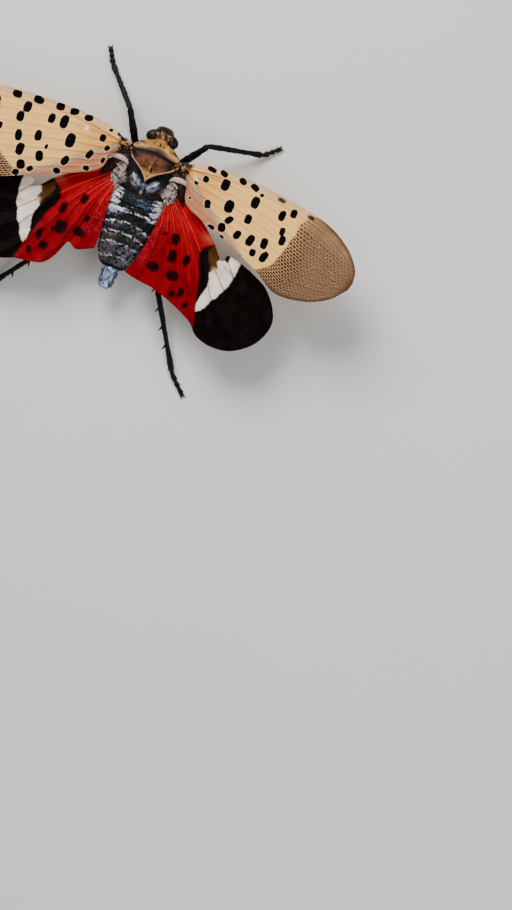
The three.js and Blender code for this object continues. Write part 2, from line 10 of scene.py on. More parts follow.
import bpy
import numpy as np
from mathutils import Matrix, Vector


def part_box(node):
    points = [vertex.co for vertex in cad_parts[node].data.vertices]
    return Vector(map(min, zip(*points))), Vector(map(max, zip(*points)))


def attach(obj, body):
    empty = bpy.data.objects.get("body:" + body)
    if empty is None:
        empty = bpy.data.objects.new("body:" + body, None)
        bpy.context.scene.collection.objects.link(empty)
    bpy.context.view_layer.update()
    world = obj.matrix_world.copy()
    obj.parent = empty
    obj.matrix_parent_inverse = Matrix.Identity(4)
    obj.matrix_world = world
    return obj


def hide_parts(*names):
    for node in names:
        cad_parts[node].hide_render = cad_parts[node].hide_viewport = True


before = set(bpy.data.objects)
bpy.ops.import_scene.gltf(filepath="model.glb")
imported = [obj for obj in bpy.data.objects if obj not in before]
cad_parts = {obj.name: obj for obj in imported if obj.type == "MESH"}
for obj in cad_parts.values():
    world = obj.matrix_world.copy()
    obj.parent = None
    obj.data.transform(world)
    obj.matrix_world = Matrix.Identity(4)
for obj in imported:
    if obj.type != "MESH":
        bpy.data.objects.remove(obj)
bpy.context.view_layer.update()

# %% [markdown]
# ## Sizes in the animal's own frame
# All sizes below are millimetres from the middle of the wing roots: first outward or to the right, then
# forward, then up from the floor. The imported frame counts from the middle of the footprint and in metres,
# so one function moves finished points there.

# %% The animal's frame
MM = 0.001
THORAX_FRONT = 2.3
WING_ROOTS_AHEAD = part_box("thorax")[1].y / MM - THORAX_FRONT
SIDES = {"left": -1, "right": 1}


def to_frame(points):
    """Millimetres from the wing roots, moved forward by WING_ROOTS_AHEAD and turned into metres."""
    return (np.asarray(points, float) + (0, WING_ROOTS_AHEAD, 0)) * MM


print(f"the wing roots lie {WING_ROOTS_AHEAD:.2f} mm ahead of the footprint's middle")

# %% [markdown]
# ## Curves and gentle unevenness
# An insect's outlines are smooth but never regular. A Catmull-Rom curve passes through every measured
# point, which suits a traced margin. A table of rows along the body is joined by cubics, whose slopes
# come from the neighbouring rows. A sum of sine waves in random directions gives the small unevenness of
# grown things, and needs no loop over the points.

# %% Curves
def smooth_line(points, at):
    """Catmull-Rom curve, where at runs from 0 to 1 over all points. Between b and c, with a before and d
    after them, the point is (2b + (c-a)f + (2a-5b+4c-d)f^2 + (3b-a-3c+d)f^3) / 2."""
    p = np.asarray(points, float)
    p = np.vstack([2 * p[0] - p[1], p, 2 * p[-1] - p[-2]])
    reach = np.clip(np.asarray(at, float), 0, 1) * (len(p) - 3)
    k = np.minimum(reach.astype(int), len(p) - 4)
    f = (reach - k)[..., None]
    a, b, c, d = p[k], p[k + 1], p[k + 2], p[k + 3]
    return (2 * b + (c - a) * f + (2 * a - 5 * b + 4 * c - d) * f**2 + (3 * b - a - 3 * c + d) * f**3) / 2


def profile(rows, at):
    """Each further column of the rows where the first one is at. Between two rows y0 and y1 a distance h
    apart the value is y0 + (y1-y0)(3f^2-2f^3) + h f(1-f)((1-f) slope0 - f slope1)."""
    rows = np.asarray(rows, float)
    rows = rows[np.argsort(rows[:, 0])]
    x, y = rows[:, 0], rows[:, 1:]
    slope = np.gradient(y, x, axis=0)
    at = np.clip(np.asarray(at, float), x[0], x[-1])
    k = np.clip(np.searchsorted(x, at) - 1, 0, len(x) - 2)
    h = (x[k + 1] - x[k])[..., None]
    f = (at - x[k])[..., None] / h
    rise = f * f * (3 - 2 * f)
    bend = h * f * (1 - f) * ((1 - f) * slope[k] - f * slope[k + 1])
    return np.moveaxis(y[k] + (y[k + 1] - y[k]) * rise + bend, -1, 0)


print("curves ready")

# %% Ripples and soft bumps
WAVES = 20


def ripples(points, size, seed):
    """Smooth bumps about size across, mostly between -1 and 1: a sum of sin(p . w + phase), whose wave
    vectors w point in random directions with lengths near 2 pi / size."""
    rng = np.random.default_rng(seed)
    ways = rng.normal(size=(WAVES, 3))
    ways *= 2 * np.pi / size * rng.uniform(0.6, 1.5, (WAVES, 1)) / np.linalg.norm(ways, axis=1)[:, None]
    return np.sin(points @ ways.T + rng.uniform(0, 2 * np.pi, WAVES)).sum(-1) / math.sqrt(WAVES)


def ease(value, low, high):
    """0 below low, 1 above high, and f^2 (3 - 2f) between them."""
    f = np.clip((value - low) / (high - low), 0, 1)
    return f * f * (3 - 2 * f)


def bell(distance, width):
    """1 in the middle and falling off as exp(-(distance / width)^2)."""
    return np.exp(-((distance / width) ** 2))


def mound(x, y, centre, halves, turn=0.0):
    """A bump exp(-r^2), where r is the distance from the centre counted in the two half sizes, along axes
    turned by turn radians."""
    dx, dy = x - centre[0], y - centre[1]
    across = dx * math.cos(turn) + dy * math.sin(turn)
    along = -dx * math.sin(turn) + dy * math.cos(turn)
    return np.exp(-((across / halves[0]) ** 2) - (along / halves[1]) ** 2)


def mounds(x, y, spots):
    """The mounds at several (centre, halves), added up."""
    return sum(mound(x, y, centre, halves) for centre, halves in spots)


print(WAVES, "waves in each ripple")

# %% Directions and grids
def unit(vectors):
    """The vectors, each divided by its length."""
    return vectors / np.linalg.norm(vectors, axis=-1, keepdims=True)


def once_round(count):
    """Even angles once round."""
    return np.arange(count) / count * 2 * np.pi


def grid(rows, columns):
    """Two arrays of one grid: the rows' value and the columns' value at each point."""
    return np.meshgrid(rows, columns, indexing="ij")


print("directions and grids ready")

# %% [markdown]
# ## From grids of points to pieces
# A body part is a tube of rings with a fan over each end. A wing is a slab: an upper and a lower sheet of
# the same grid, closed by a rim. Both come from index arithmetic on whole arrays, so a fine mesh costs no
# loop. Colour weights and distances go along as marks, which are stored on the points for the finishes.

# %% Tubes and slabs
def tube(rings, marks=None):
    """Points and faces of a closed tube: rings[r, k] is point k of ring r, and each end gets a middle."""
    count, sides, _ = rings.shape
    points = np.vstack([rings.reshape(-1, 3), rings[0].mean(0), rings[-1].mean(0)])
    r, k = grid(np.arange(count - 1), np.arange(sides))
    a, b = r * sides + k, r * sides + (k + 1) % sides
    quads = np.stack([a, b, b + sides, a + sides], -1).reshape(-1, 4)
    edge = np.arange(sides)
    after = (edge + 1) % sides
    last = (count - 1) * sides
    first_fan = np.stack([after, edge, np.full(sides, count * sides)], -1)
    last_fan = np.stack([edge + last, after + last, np.full(sides, count * sides + 1)], -1)
    return points, quads.tolist() + first_fan.tolist() + last_fan.tolist(), marks


def lifted(points, height):
    """The points, moved up by the height."""
    return points + np.multiply.outer(height, (0, 0, 1))


def slab(upper, lower, marks=None):
    """Points and faces of the solid between two sheets of one grid, upper[i, j] over lower[i, j]."""
    rows, columns, _ = upper.shape
    below = rows * columns
    points = np.vstack([upper.reshape(-1, 3), lower.reshape(-1, 3)])
    i, j = grid(np.arange(rows - 1), np.arange(columns - 1))
    a = i * columns + j
    top = np.stack([a, a + columns, a + columns + 1, a + 1], -1).reshape(-1, 4)
    at = np.arange(below).reshape(rows, columns)
    rim = np.concatenate([at[0, :-1], at[:-1, -1], at[-1, :0:-1], at[:0:-1, 0]])
    after = np.roll(rim, -1)
    side = np.stack([rim, after, after + below, rim + below], -1)
    return points, top.tolist() + (top[:, ::-1] + below).tolist() + side[:, ::-1].tolist(), marks


def merge(*shapes):
    """One shape from several, each one's faces counted on from the last. The first shape's marks stay."""
    points, faces, start = [], [], 0
    for some_points, some_faces, _ in shapes:
        points.append(some_points)
        faces += [[index + start for index in face] for face in some_faces]
        start += len(some_points)
    return np.vstack(points), faces, shapes[0][2]


def outward(points, faces):
    """The faces, turned round if the volume sum of p0 . (p1 x p2) over the corner triangles is negative."""
    corners = [face[:3] for face in faces] + [[f[0], f[2], f[3]] for f in faces if len(f) == 4]
    a, b, c = points[np.array(corners).T]
    return faces if (a * np.cross(b, c)).sum() > 0 else [face[::-1] for face in faces]


print("tubes and slabs ready")

# %% Pieces
def make_piece(name, shape, finish, slot, *replaces):
    """A mesh object riding on the root body. A mark holds a value for each point of a sheet, and serves
    both sheets of a slab; points past the grid, such as a tube's two middles, get 0."""
    points, faces, marks = shape
    mesh = bpy.data.meshes.new(name)
    mesh.from_pydata(to_frame(points).tolist(), [], outward(points, faces))
    mesh.shade_smooth()
    mesh.materials.append(finish)
    for mark, values in (marks or {}).items():
        stored = np.tile(np.ravel(values), len(points) // np.size(values))
        stored = np.append(stored, np.zeros(len(points) - len(stored))).astype(np.float32)
        mesh.attributes.new(mark, "FLOAT", "POINT").data.foreach_set("value", stored)
    piece = bpy.data.objects.new(name, mesh)
    bpy.context.scene.collection.objects.link(piece)
    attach(piece, "root")
    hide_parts(*replaces)
    print(f"{name}: {len(points)} points, {len(faces)} faces")


def make_pair(name, shape_of, finish, slot, replaced):
    """The left and the right piece, each shaped by shape_of(side). The stars stand for the side's name."""
    for side in SIDES:
        make_piece(name.replace("*", side), shape_of(side), finish, slot, replaced.replace("*", side))


print("pieces can be made")

# %% [markdown]
# ## Wiring a finish
# A finish starts from one principled shader, and each call adds a node. What a node gives is wrapped as a
# signal, so that sums and products of signals read like arithmetic. Colours are given as a painter picks
# them, in sRGB, and are turned into the linear values that the shader wants.

# %% Signals
def paint(red, green, blue):
    """Linear colour of an sRGB one: ((c/255 + 0.055) / 1.055)^2.4, or c / (255 * 12.92) when dark."""
    srgb = np.array([red, green, blue]) / 255
    linear = np.where(srgb <= 0.04045, srgb / 12.92, ((srgb + 0.055) / 1.055) ** 2.4)
    return (*linear.tolist(), 1.0)


class Signal:
    """What a node gives: a number, a place or a colour for each point of the surface."""

    def __init__(self, finish, socket):
        self.finish, self.socket = finish, socket

    def __add__(self, other):
        return self.finish.node("Math", {0: self, 1: other}, operation="ADD")

    def __sub__(self, number):
        return self + -number

    def __mul__(self, other):
        return self.finish.node("Math", {0: self, 1: other}, operation="MULTIPLY")

    def step(self, low, high):
        """0 below low and 1 above high, eased between."""
        inputs = {"Value": self, "From Min": low, "From Max": high}
        return self.finish.node("MapRange", inputs, interpolation_type="SMOOTHSTEP")

    def spread(self, low, high):
        """The range 0 to 1 stretched to low to high."""
        return self.finish.node("MapRange", {"Value": self, "To Min": low, "To Max": high})


print("signals ready")

# %% Finish helper
class Finish:
    """A material that is being wired, one node per call."""

    def __init__(self, name, roughness=0.5, gloss=0.5):
        self.material = bpy.data.materials.new(name)
        self.material.use_nodes = True
        self.tree = self.material.node_tree
        self.tree.nodes.clear()
        self.shader = self.tree.nodes.new("ShaderNodeBsdfPrincipled")
        end = self.tree.nodes.new("ShaderNodeOutputMaterial")
        self.tree.links.new(self.shader.outputs[0], end.inputs[0])
        self.set("Roughness", roughness)
        self.set("Specular IOR Level", gloss)

    def plug(self, socket, value):
        """Links a signal to the socket, or sets the value there, a colour being given in sRGB."""
        if isinstance(value, Signal):
            self.tree.links.new(value.socket, socket)
        else:
            socket.default_value = paint(*value) if socket.type == "RGBA" else value

    def set(self, socket, value):
        self.plug(self.shader.inputs[socket], value)

    def node(self, kind, inputs, result=0, **settings):
        """A new node with those inputs and settings. Gives the signal of its output called result."""
        node = self.tree.nodes.new("ShaderNode" + kind)
        for setting, value in settings.items():
            setattr(node, setting, value)
        for socket, value in inputs.items():
            self.plug(node.inputs[socket], value)
        return Signal(self, node.outputs[result])

    def mark(self, name):
        """The mark of that name, stored on the points."""
        return self.node("Attribute", {}, "Fac", attribute_name=name)

    def place(self):
        """The place in the object, in metres."""
        return self.node("TexCoord", {}, "Object")

    def stretched(self, x, y, z):
        """The place, with each direction multiplied by its own number."""
        return self.node("Mapping", {0: self.place(), 3: (x, y, z)})

    def flat_place(self, x, y):
        """A place made of two signals."""
        return self.node("CombineXYZ", {"X": x, "Y": y})

    def noise(self, size, detail=3.0, roughness=0.55, distortion=0.0, vector=None):
        """Noise whose blobs are about size millimetres across, or size units of the vector."""
        scale = 1 / size if vector else 1 / (size * MM)
        inputs = {"Vector": vector or self.place(), "Scale": scale, "Detail": detail}
        return self.node("TexNoise", inputs | {"Roughness": roughness, "Distortion": distortion})

    def cells(self, size):
        """Distance to the middle of the nearest of many irregular cells, size millimetres across."""
        return self.node("TexVoronoi", {"Vector": self.place(), "Scale": 1 / (size * MM)}, "Distance")

    def mix(self, under, over, weight, low=None, high=None, strength=None):
        """The under colour where the weight is 0 and the over one where it is 1. The weight, or the mark
        of that name, is first eased from low to high and multiplied by the strength, if they are given."""
        weight = self.mark(weight) if isinstance(weight, str) else weight
        weight = weight if low is None else weight.step(low, high)
        weight = weight if strength is None else weight * strength
        return self.node("Mix", {0: weight, 6: under, 7: over}, 2, data_type="RGBA")

    def coats(self, colour, *layers):
        """The colour under layers of (colour, weight, low, high, strength), laid on in turn."""
        for layer in layers:
            colour = self.mix(colour, *layer)
        return colour

    def done(self, colour, height=None, depth=0.0, roughness=None):
        """The material in that colour, with relief of that depth in millimetres where the height goes
        from 0 to 1."""
        self.set("Base Color", colour)
        if height:
            inputs = {"Height": height, "Distance": depth * MM, "Strength": 1.0}
            self.set("Normal", self.node("Bump", inputs))
        if roughness:
            self.set("Roughness", roughness)
        return self.material


print("finish helper ready")

# %% [markdown]
# ## The forewing's surface
# The forewing is a leathery blade hinged at the side of the thorax. Straight rows join its leading margin
# to its rear margin, so a point is known by its share s of the way out and t of the way back. A low arch,
# a small lift and the sweep back put it in place. Long veins stand up from the membrane, and more of them
# begin further out, as on the real wing.

# %% Forewing shape
FOREWING_LEAD = [
    (0, 0.35), (0.9, 0.9), (2.2, 1.72), (5.5, 2.78), (9.5, 3.48),
    (13.5, 3.93), (17.0, 3.98), (20.0, 3.15), (22.0, 1.75), (22.68, 0.35),
]
FOREWING_REAR = {
    "left": [
        (0, -0.35), (1.6, -1.1), (2.7, -3.0), (5.5, -3.95), (9.5, -4.85),
        (13.3, -5.7), (16.3, -5.9), (19.3, -4.6), (21.5, -2.7), (22.65, -0.6),
    ],
    "right": [
        (0, -0.35), (1.5, -1.0), (2.7, -2.9), (5.5, -3.52), (9.5, -3.95),
        (13.3, -4.6), (16.3, -5.4), (19.3, -4.4), (21.5, -2.65), (22.65, -0.6),
    ],
}
FOREWING_HINGE = (3.05, 0.95, 5.85)
FOREWING_LIFT = math.radians(5)
FOREWING_SWEEP = {"left": math.radians(12.2), "right": math.radians(13.4)}
FOREWING_CROWN = 0.35


def forewing_sheet(side, s, t):
    """L(s) + (R(s) - L(s)) t in the wing's own plane, arched by crown sin(pi(0.15 + 0.85t)) sin(pi s)^0.7.
    It is turned up by the lift and back by the sweep. Returns the points, the flat place and the width."""
    lead = smooth_line(FOREWING_LEAD, s)
    rear = smooth_line(FOREWING_REAR[side], s)
    flat = lead + (rear - lead) * t[..., None]
    z = FOREWING_CROWN * np.sin(np.pi * (0.15 + 0.85 * t)) * np.sin(np.pi * np.clip(s, 0, 1)) ** 0.7
    out, ahead = flat[..., 0], flat[..., 1]
    lift, sweep = FOREWING_LIFT, FOREWING_SWEEP[side]
    level = out * math.cos(lift) - z * math.sin(lift)
    x = FOREWING_HINGE[0] + level * math.cos(sweep) + ahead * math.sin(sweep)
    y = FOREWING_HINGE[1] - level * math.sin(sweep) + ahead * math.cos(sweep)
    height = FOREWING_HINGE[2] + out * math.sin(lift) + z * math.cos(lift)
    return np.stack([SIDES[side] * x, y, height], -1), flat, np.linalg.norm(lead - rear, axis=-1)


def vein_gap(t, veins, width):
    """Distance in millimetres to the nearest vein: the least |t - vein|, times the width that t spans."""
    return np.abs(t[..., None] - np.asarray(veins)).min(-1) * width


print("forewing sheet ready")

# %% [markdown]
# ## The forewing's markings
# The membrane is cream tan with black spots, and its outer third is a net of pale cross veins round dark
# cells. A picture could be wrapped over it, but the rule here is to paint by formula. Each spot is an oval
# with a place and two widths, and every point of the mesh keeps its distance to the nearest spot. The
# finish cuts that distance sharply, so that the edge stays crisp between the mesh points.

# %% Forewing spots
MIDLINE = 0.15  # the body's middle lies this far right of the zero that the markings are measured from

# Each spot: to the right, forward, width, height, and its lean in degrees where it has one
FOREWING_SPOTS = {
    "right": [
        (6.44, 1.95, 1.0, 0.5, -8), (7.88, 2.0, 0.9, 0.55, -20), (10.06, 2.0, 0.85, 0.6, -25),
        (11.5, 1.88, 0.95, 0.62, -25), (6.25, 0.7, 0.62, 0.68), (8.44, 0.94, 0.9, 1.25),
        (12.54, 1.36, 0.38, 0.34), (12.16, 0.36, 0.88, 1.3), (15.4, 0.11, 0.7, 1.15),
        (16.5, 0.78, 0.7, 0.92), (5.4, 0.0, 0.48, 0.36), (7.4, -1.72, 0.62, 0.95, 18),
        (9.67, -1.1, 1.0, 1.4), (12.1, -1.6, 0.74, 1.05), (10.2, -2.47, 0.68, 1.0, -35),
        (16.05, -1.45, 0.6, 0.85), (16.4, -2.4, 0.68, 1.05), (9.75, -3.5, 0.78, 0.95, 15),
        (8.64, -3.94, 0.75, 0.52), (11.6, -3.64, 0.72, 1.0, -20), (13.16, -3.67, 0.8, 1.28, -12),
        (14.7, -3.4, 0.76, 1.2), (15.2, -4.8, 0.74, 1.25, -18), (13.9, -4.8, 0.65, 0.8),
        (10.1, -4.6, 0.6, 0.55), (12.6, -5.8, 0.65, 0.6), (5.35, -1.83, 0.22, 0.22),
    ],
    "left": [
        (-16.27, 1.66, 1.05, 0.78), (-13.85, 1.92, 1.1, 0.82), (-11.4, 2.12, 0.95, 0.8, 10),
        (-9.77, 2.2, 0.95, 0.72, 20), (-8.08, 2.12, 0.95, 0.66, 20), (-5.34, 1.8, 0.38, 0.32),
        (-4.3, 1.76, 0.45, 0.38), (-14.7, 0.78, 0.86, 1.18), (-15.07, -0.5, 0.78, 1.08, 8),
        (-11.8, 0.6, 0.72, 1.12), (-10.4, 0.74, 0.86, 1.5), (-9.03, -0.88, 1.0, 1.6),
        (-5.85, 0.68, 0.66, 0.78), (-5.03, -0.2, 0.5, 0.6, -30), (-12.47, -1.7, 0.74, 1.18, 8),
        (-11.2, -2.46, 0.32, 0.55), (-14.5, -2.43, 0.72, 1.22, 12), (-13.8, -3.8, 0.86, 1.35),
        (-11.55, -3.7, 0.8, 1.15, 25), (-13.1, -5.3, 0.9, 1.0, 15), (-12.0, -5.38, 0.55, 0.68, -35),
        (-13.3, -6.3, 0.68, 0.7), (-6.55, -1.5, 0.62, 1.0, -20), (-4.96, -1.58, 0.36, 0.66),
        (-8.76, -3.14, 0.7, 1.12, -15), (-6.35, -3.04, 0.66, 0.5), (-9.2, -4.5, 0.75, 0.6, -15),
        (-16.8, -2.2, 0.55, 0.85), (-18.0, 0.3, 0.5, 0.8), (-16.9, -4.5, 0.55, 0.8),
    ],
}
FAINT_SPOTS = {
    "right": [(14.75, 1.66, 1.15, 0.5, -10), (18.4, 1.12, 0.95, 0.48, -8)],
    "left": [(-18.6, 1.4, 0.95, 0.45, 8)],
}
# Two small white flecks, painted glints on the membrane; the right one lies on the pale scar at the clavus's
# base
WHITE_GLINTS = {"left": [(-7.9, 1.04, 0.5, 0.42)], "right": [(5.2, 0.42, 0.75, 0.2, -42)]}

print(sum(len(spots) for spots in FOREWING_SPOTS.values()), "forewing spots")

# %% Distance to the spots
# The camera stands VIEW_DISTANCE over this point. The markings were measured on its level
VIEW_CENTRE = (22.35, -25.06, 5.5)
VIEW_DISTANCE = 400
SPOTS_GROW = 0.06


def as_seen(points):
    """Where the camera sees a point on the level of the markings: foot + (p - foot) (1 + (z - level) / view
    distance), where foot lies straight under the camera."""
    foot, level = np.array(VIEW_CENTRE[:2]), VIEW_CENTRE[2]
    return foot + (points[..., :2] - foot) * (1 + (points[..., 2:] - level) / VIEW_DISTANCE)


def oval_gap(points, spots, grow=SPOTS_GROW):
    """Distance to the nearest oval's edge, negative inside. With r = (|dx/a|^2.7 + |dy/b|^2.7)^(1/2.7) in
    the oval's leaned axes, the distance is about (r - 1) times the smaller half width."""
    seen, nearest = as_seen(points), np.full(points.shape[:-1], 9.0)
    for x, y, width, height, *lean in spots:
        angle = math.radians(lean[0]) if lean else 0.0
        dx, dy = seen[..., 0] - (x - MIDLINE), seen[..., 1] - y
        across = dx * math.cos(angle) + dy * math.sin(angle)
        along = dy * math.cos(angle) - dx * math.sin(angle)
        width, height = width + grow, height + grow
        r = (np.abs(2 * across / width) ** 2.7 + np.abs(2 * along / height) ** 2.7) ** (1 / 2.7)
        nearest = np.minimum(nearest, (r - 1) * min(width, height) / 2)
    return nearest


print("ovals grow by", SPOTS_GROW, "mm")

# %% Forewing zones
NET_FRONT = [(-2.1, 14.4), (-0.7, 14.6), (0.7, 14.5), (2.3, 14.5), (3.9, 15.2), (4.5, 15.8)]
NET_EDGE = {
    "right": [(-4.6, 13.1), (-3.2, 14.2), *NET_FRONT],
    "left": [(-4.8, 11.9), (-3.6, 13.1), *NET_FRONT],
}
NET_ROWS = (21, 10)
NET_WIDTH = 8.4
CLAVAL_LINE = {
    "left": [(1.2, 0.05), (5.1, -1.9), (8.0, -3.35), (10.8, -4.4), (12.4, -5.3)],
    "right": [(1.2, -0.2), (4.25, -1.4), (7.65, -2.75), (9.9, -3.5), (11.6, -4.2)],
}
COSTAL_LINE = [(1.0, 0.25), (2.9, 1.0), (6.8, 2.13), (10.8, 2.76), (14.5, 3.05), (18.0, 2.75)]
FOREWING_VEINS = [0.1, 0.22, 0.36, 0.5, 0.64, 0.77, 0.89]


def forewing_marks(side, points, flat, width, s, t):
    """The net lies beyond the line out = NET_EDGE(ahead) and fades over 1 + 6 t^1.3 mm. Its rows are counted
    by 21 u + 10 u^2, so they get finer toward the rear, with u = t but u = 0.5 + (t - 0.5) width / 8.4 where
    the wing is narrower than 8.4, so that they run out to the margins. The clavus lies behind its line, and
    the costal strip before its own; both are signed distances along the wing."""
    out, ahead = flat[..., 0], flat[..., 1]
    net = out - profile(NET_EDGE[side], ahead)[0]
    across = 0.5 + (t - 0.5) * np.minimum(width / NET_WIDTH, 1)
    return {
        "spot": oval_gap(points, FOREWING_SPOTS[side]),
        "faint": oval_gap(points, FAINT_SPOTS[side]),
        "white": oval_gap(points, WHITE_GLINTS[side], 0.0),
        "net": net,
        "fade": np.clip((net - 0.2) / (1.0 + 6 * t**1.3), 0, 1),
        "rows": NET_ROWS[0] * across + NET_ROWS[1] * across**2,
        "along": out,
        "vein": vein_gap(t, FOREWING_VEINS, width),
        "rim": np.minimum(np.minimum(t, 1 - t) * width, (1 - s) * 4.0),
        "clavus": profile(CLAVAL_LINE[side], out)[0] - ahead - 1.5 * ease(out, 10.5, 13.5),
        "costal": ahead - profile(COSTAL_LINE, out)[0],
        "root": ease(out, 0.9, 1.35),
    }


print(len(FOREWING_VEINS), "long veins")

# %% Forewing relief
BRANCH_VEINS = [0.04, 0.16, 0.29, 0.43, 0.57, 0.705, 0.83, 0.945]
BRANCHES_START = 0.45
MEMBRANE = 0.22
EDGE_ROUNDING = 0.12


def rounded_edge(rim):
    """The share of its thickness that a wing has at a distance rim from its margin: sqrt(rim / 0.12)."""
    return np.sqrt(np.clip(rim / EDGE_ROUNDING, 0.04, 1))


def forewing_shape(side):
    """Upper and lower sheets MEMBRANE / 2 from the middle one. Ridges h exp(-(d / 0.1)^2) stand along the
    main veins, half as high along the branches past BRANCHES_START, and higher along the leading margin;
    a groove runs along the clavus."""
    s, t = grid(np.linspace(0, 1, 290), np.linspace(0, 1, 104))
    points, flat, width = forewing_sheet(side, s, t)
    marks = forewing_marks(side, points, flat, width, s, t)
    branch = vein_gap(t, BRANCH_VEINS, width)
    thin_tip = 1 - 0.5 * ease(s, 0.9, 1.0)
    ridge = 0.09 * bell(marks["vein"], 0.1) * thin_tip
    ridge += 0.04 * bell(branch, 0.09) * ease(s, BRANCHES_START, BRANCHES_START + 0.1) * thin_tip
    ridge += 0.16 * bell(t * width, 0.16) * (1 - ease(s, 0.6, 0.9))
    ridge -= 0.07 * bell(marks["clavus"], 0.12) * (1 - ease(marks["along"], 9, 12))
    wavy = 0.035 * ripples(points, 2.4, seed=3) * ease(s, 0.05, 0.3)
    half = MEMBRANE / 2 * rounded_edge(marks["rim"])
    return slab(lifted(points, half + ridge + wavy), lifted(points, wavy - half + 0.3 * ridge), marks)


print("membrane", MEMBRANE, "mm thick")

# %% [markdown]
# ## The forewing's finish
# Four layers go over each other: the streaky cream membrane with its paler costal strip, the pinkish
# clavus near the body, the net of bricks, and the spots. The bricks use the row number across the wing
# and the distance along it, so they follow the veins as the real cells do. A little relief makes the
# pale net stand up from the dark cells.

# %% Forewing membrane colours
def membrane_colour(f, rows, along):
    """Streaky cream, warmer toward the body, with the costal strip, its line, the veins and the clavus."""
    near_body = along.step(9, 2)
    streaks = f.noise(1.0, 4, 0.65, vector=f.flat_place(along * 0.35, rows))
    slanted = f.noise(0.6, 2, 0.5, vector=f.flat_place(along * 0.5, rows + along))
    patches = f.noise(2.2, 2)
    vein = f.mark("vein").step(0.09, 0.02)
    costal, clavus = f.mark("costal"), f.mark("clavus")
    costal_line = costal.step(-0.12, -0.02) * costal.step(0.12, 0.04)
    grey_side = f.mix((152, 130, 110), (186, 160, 132), streaks, 0.3, 0.7)
    pink_side = f.mix((168, 104, 78), (200, 132, 98), streaks, 0.3, 0.7)
    zone = f.mix(grey_side, pink_side, clavus + patches * 0.6, 0.3, 1.3)
    suture = clavus.step(-0.08, 0.0) * clavus.step(0.1, 0.02)
    return f.coats(
        f.mix((254, 184, 96), (255, 208, 122), streaks, 0.3, 0.7),
        ((220, 150, 74), slanted, 0.5, 0.75, 0.3),
        ((255, 194, 116), patches, 0.42, 0.75, 0.4),
        ((255, 200, 104), along, 12.5, 15.5, 0.6),
        (f.mix((186, 112, 34), (230, 160, 62), streaks), along, 8.0, 2.0, 0.6),
        ((150, 92, 44), vein * near_body.spread(0.1, 0.45)),
        (f.mix((208, 156, 100), (250, 206, 146), streaks), costal, 0.02, 0.14),
        ((150, 78, 28), costal_line * near_body.spread(0.2, 0.85)),
        (f.mix(zone, (128, 88, 64), vein * 0.3), clavus, -0.06, 0.16, 0.92),
        ((120, 78, 44), suture * near_body.spread(0.1, 0.6)),
    )


def net_colour(f, rows, along, wobble):
    """Bricks in rows, wavier and paler toward the tip, and the pale mortar between them."""
    fade, blotch = f.mark("fade"), f.noise(1.5, 3)
    bend = wobble * fade.step(0.2, 1.0).spread(0.8, 2.6)
    inputs = {"Vector": f.flat_place(along * 3.3 + bend, rows + bend * 0.7), "Scale": 1.0}
    inputs |= {"Mortar Size": 0.17, "Mortar Smooth": 0.6, "Brick Width": 1.5, "Row Height": 1.0}
    mortar = f.node("TexBrick", inputs, "Fac", offset=0.5)
    inputs |= {"Color1": (0, 0, 0), "Color2": (255, 255, 255)}
    tint = f.node("TexBrick", inputs, "Color", offset=0.5)
    bricks = f.coats(
        f.mix((34, 12, 2), (104, 62, 32), tint * blotch.step(0.3, 0.7)),
        ((128, 84, 50), rows, 17, 8, 0.45),
        ((102, 74, 54), fade, 0.1, 0.9),
        ((144, 106, 70), rows, 6, 3, 0.85),
    )
    net = f.mix(bricks, f.mix((212, 166, 116), (166, 130, 98), fade, 0.0, 0.5), mortar)
    return f.mix(net, (130, 98, 68), fade.step(0.7, 1.0) * blotch.step(0.35, 0.65) * 0.5), mortar


print("membrane and net colours ready")

# %% Forewing finish
def forewing_finish():
    f = Finish("forewing_membrane", 0.6, 0.04)
    rows, along, wobble = f.mark("rows"), f.mark("along"), f.noise(0.9, 2) - 0.5
    net, mortar = net_colour(f, rows, along, wobble)
    past_edge = f.mark("net") + wobble * 0.6
    ragged = (f.noise(0.45, 2) - 0.5) * 0.16
    spot = f.mark("spot") + ragged
    colour = f.coats(
        membrane_colour(f, rows, along),
        (net, past_edge, -0.12, 0.12),
        ((80, 50, 32), f.mark("rim").step(0.55, 0.08) * past_edge.step(0, 2.5) * 0.75),
        ((26, 15, 11), f.mark("faint") + ragged, 0.06, -0.14, 0.95),
        ((255, 222, 176), spot, 0.16, 0.06, 0.28),
        (f.mix((1, 0, 0), (7, 3, 3), f.noise(0.3)), spot, 0.04, -0.03),
        # painted glints: the small white flecks
        ((255, 240, 222), f.mark("white") + ragged, 0.08, -0.08),
    )
    root = f.mix((22, 14, 12), (130, 84, 40), f.noise(0.4, 3), 0.45, 0.6)
    relief = mortar * (past_edge.step(0, 0.2) * 0.8)
    return f.done(f.mix(root, colour, "root"), relief + f.noise(0.12) * 0.5, 0.03)


make_pair("forewing_*_membrane", forewing_shape, forewing_finish(), "forewing_membrane", "forewing_*")

# %% [markdown]
# ## The hindwing's surface
# The hindwing folds like a fan. Four margins close it: its root, the front margin, the long outer margin
# and the inner margin beside the abdomen. A Coons patch fills them: it adds the two blends between facing
# margins and takes away the blend of the four corners. The pleats rise on each vein and sink between them.

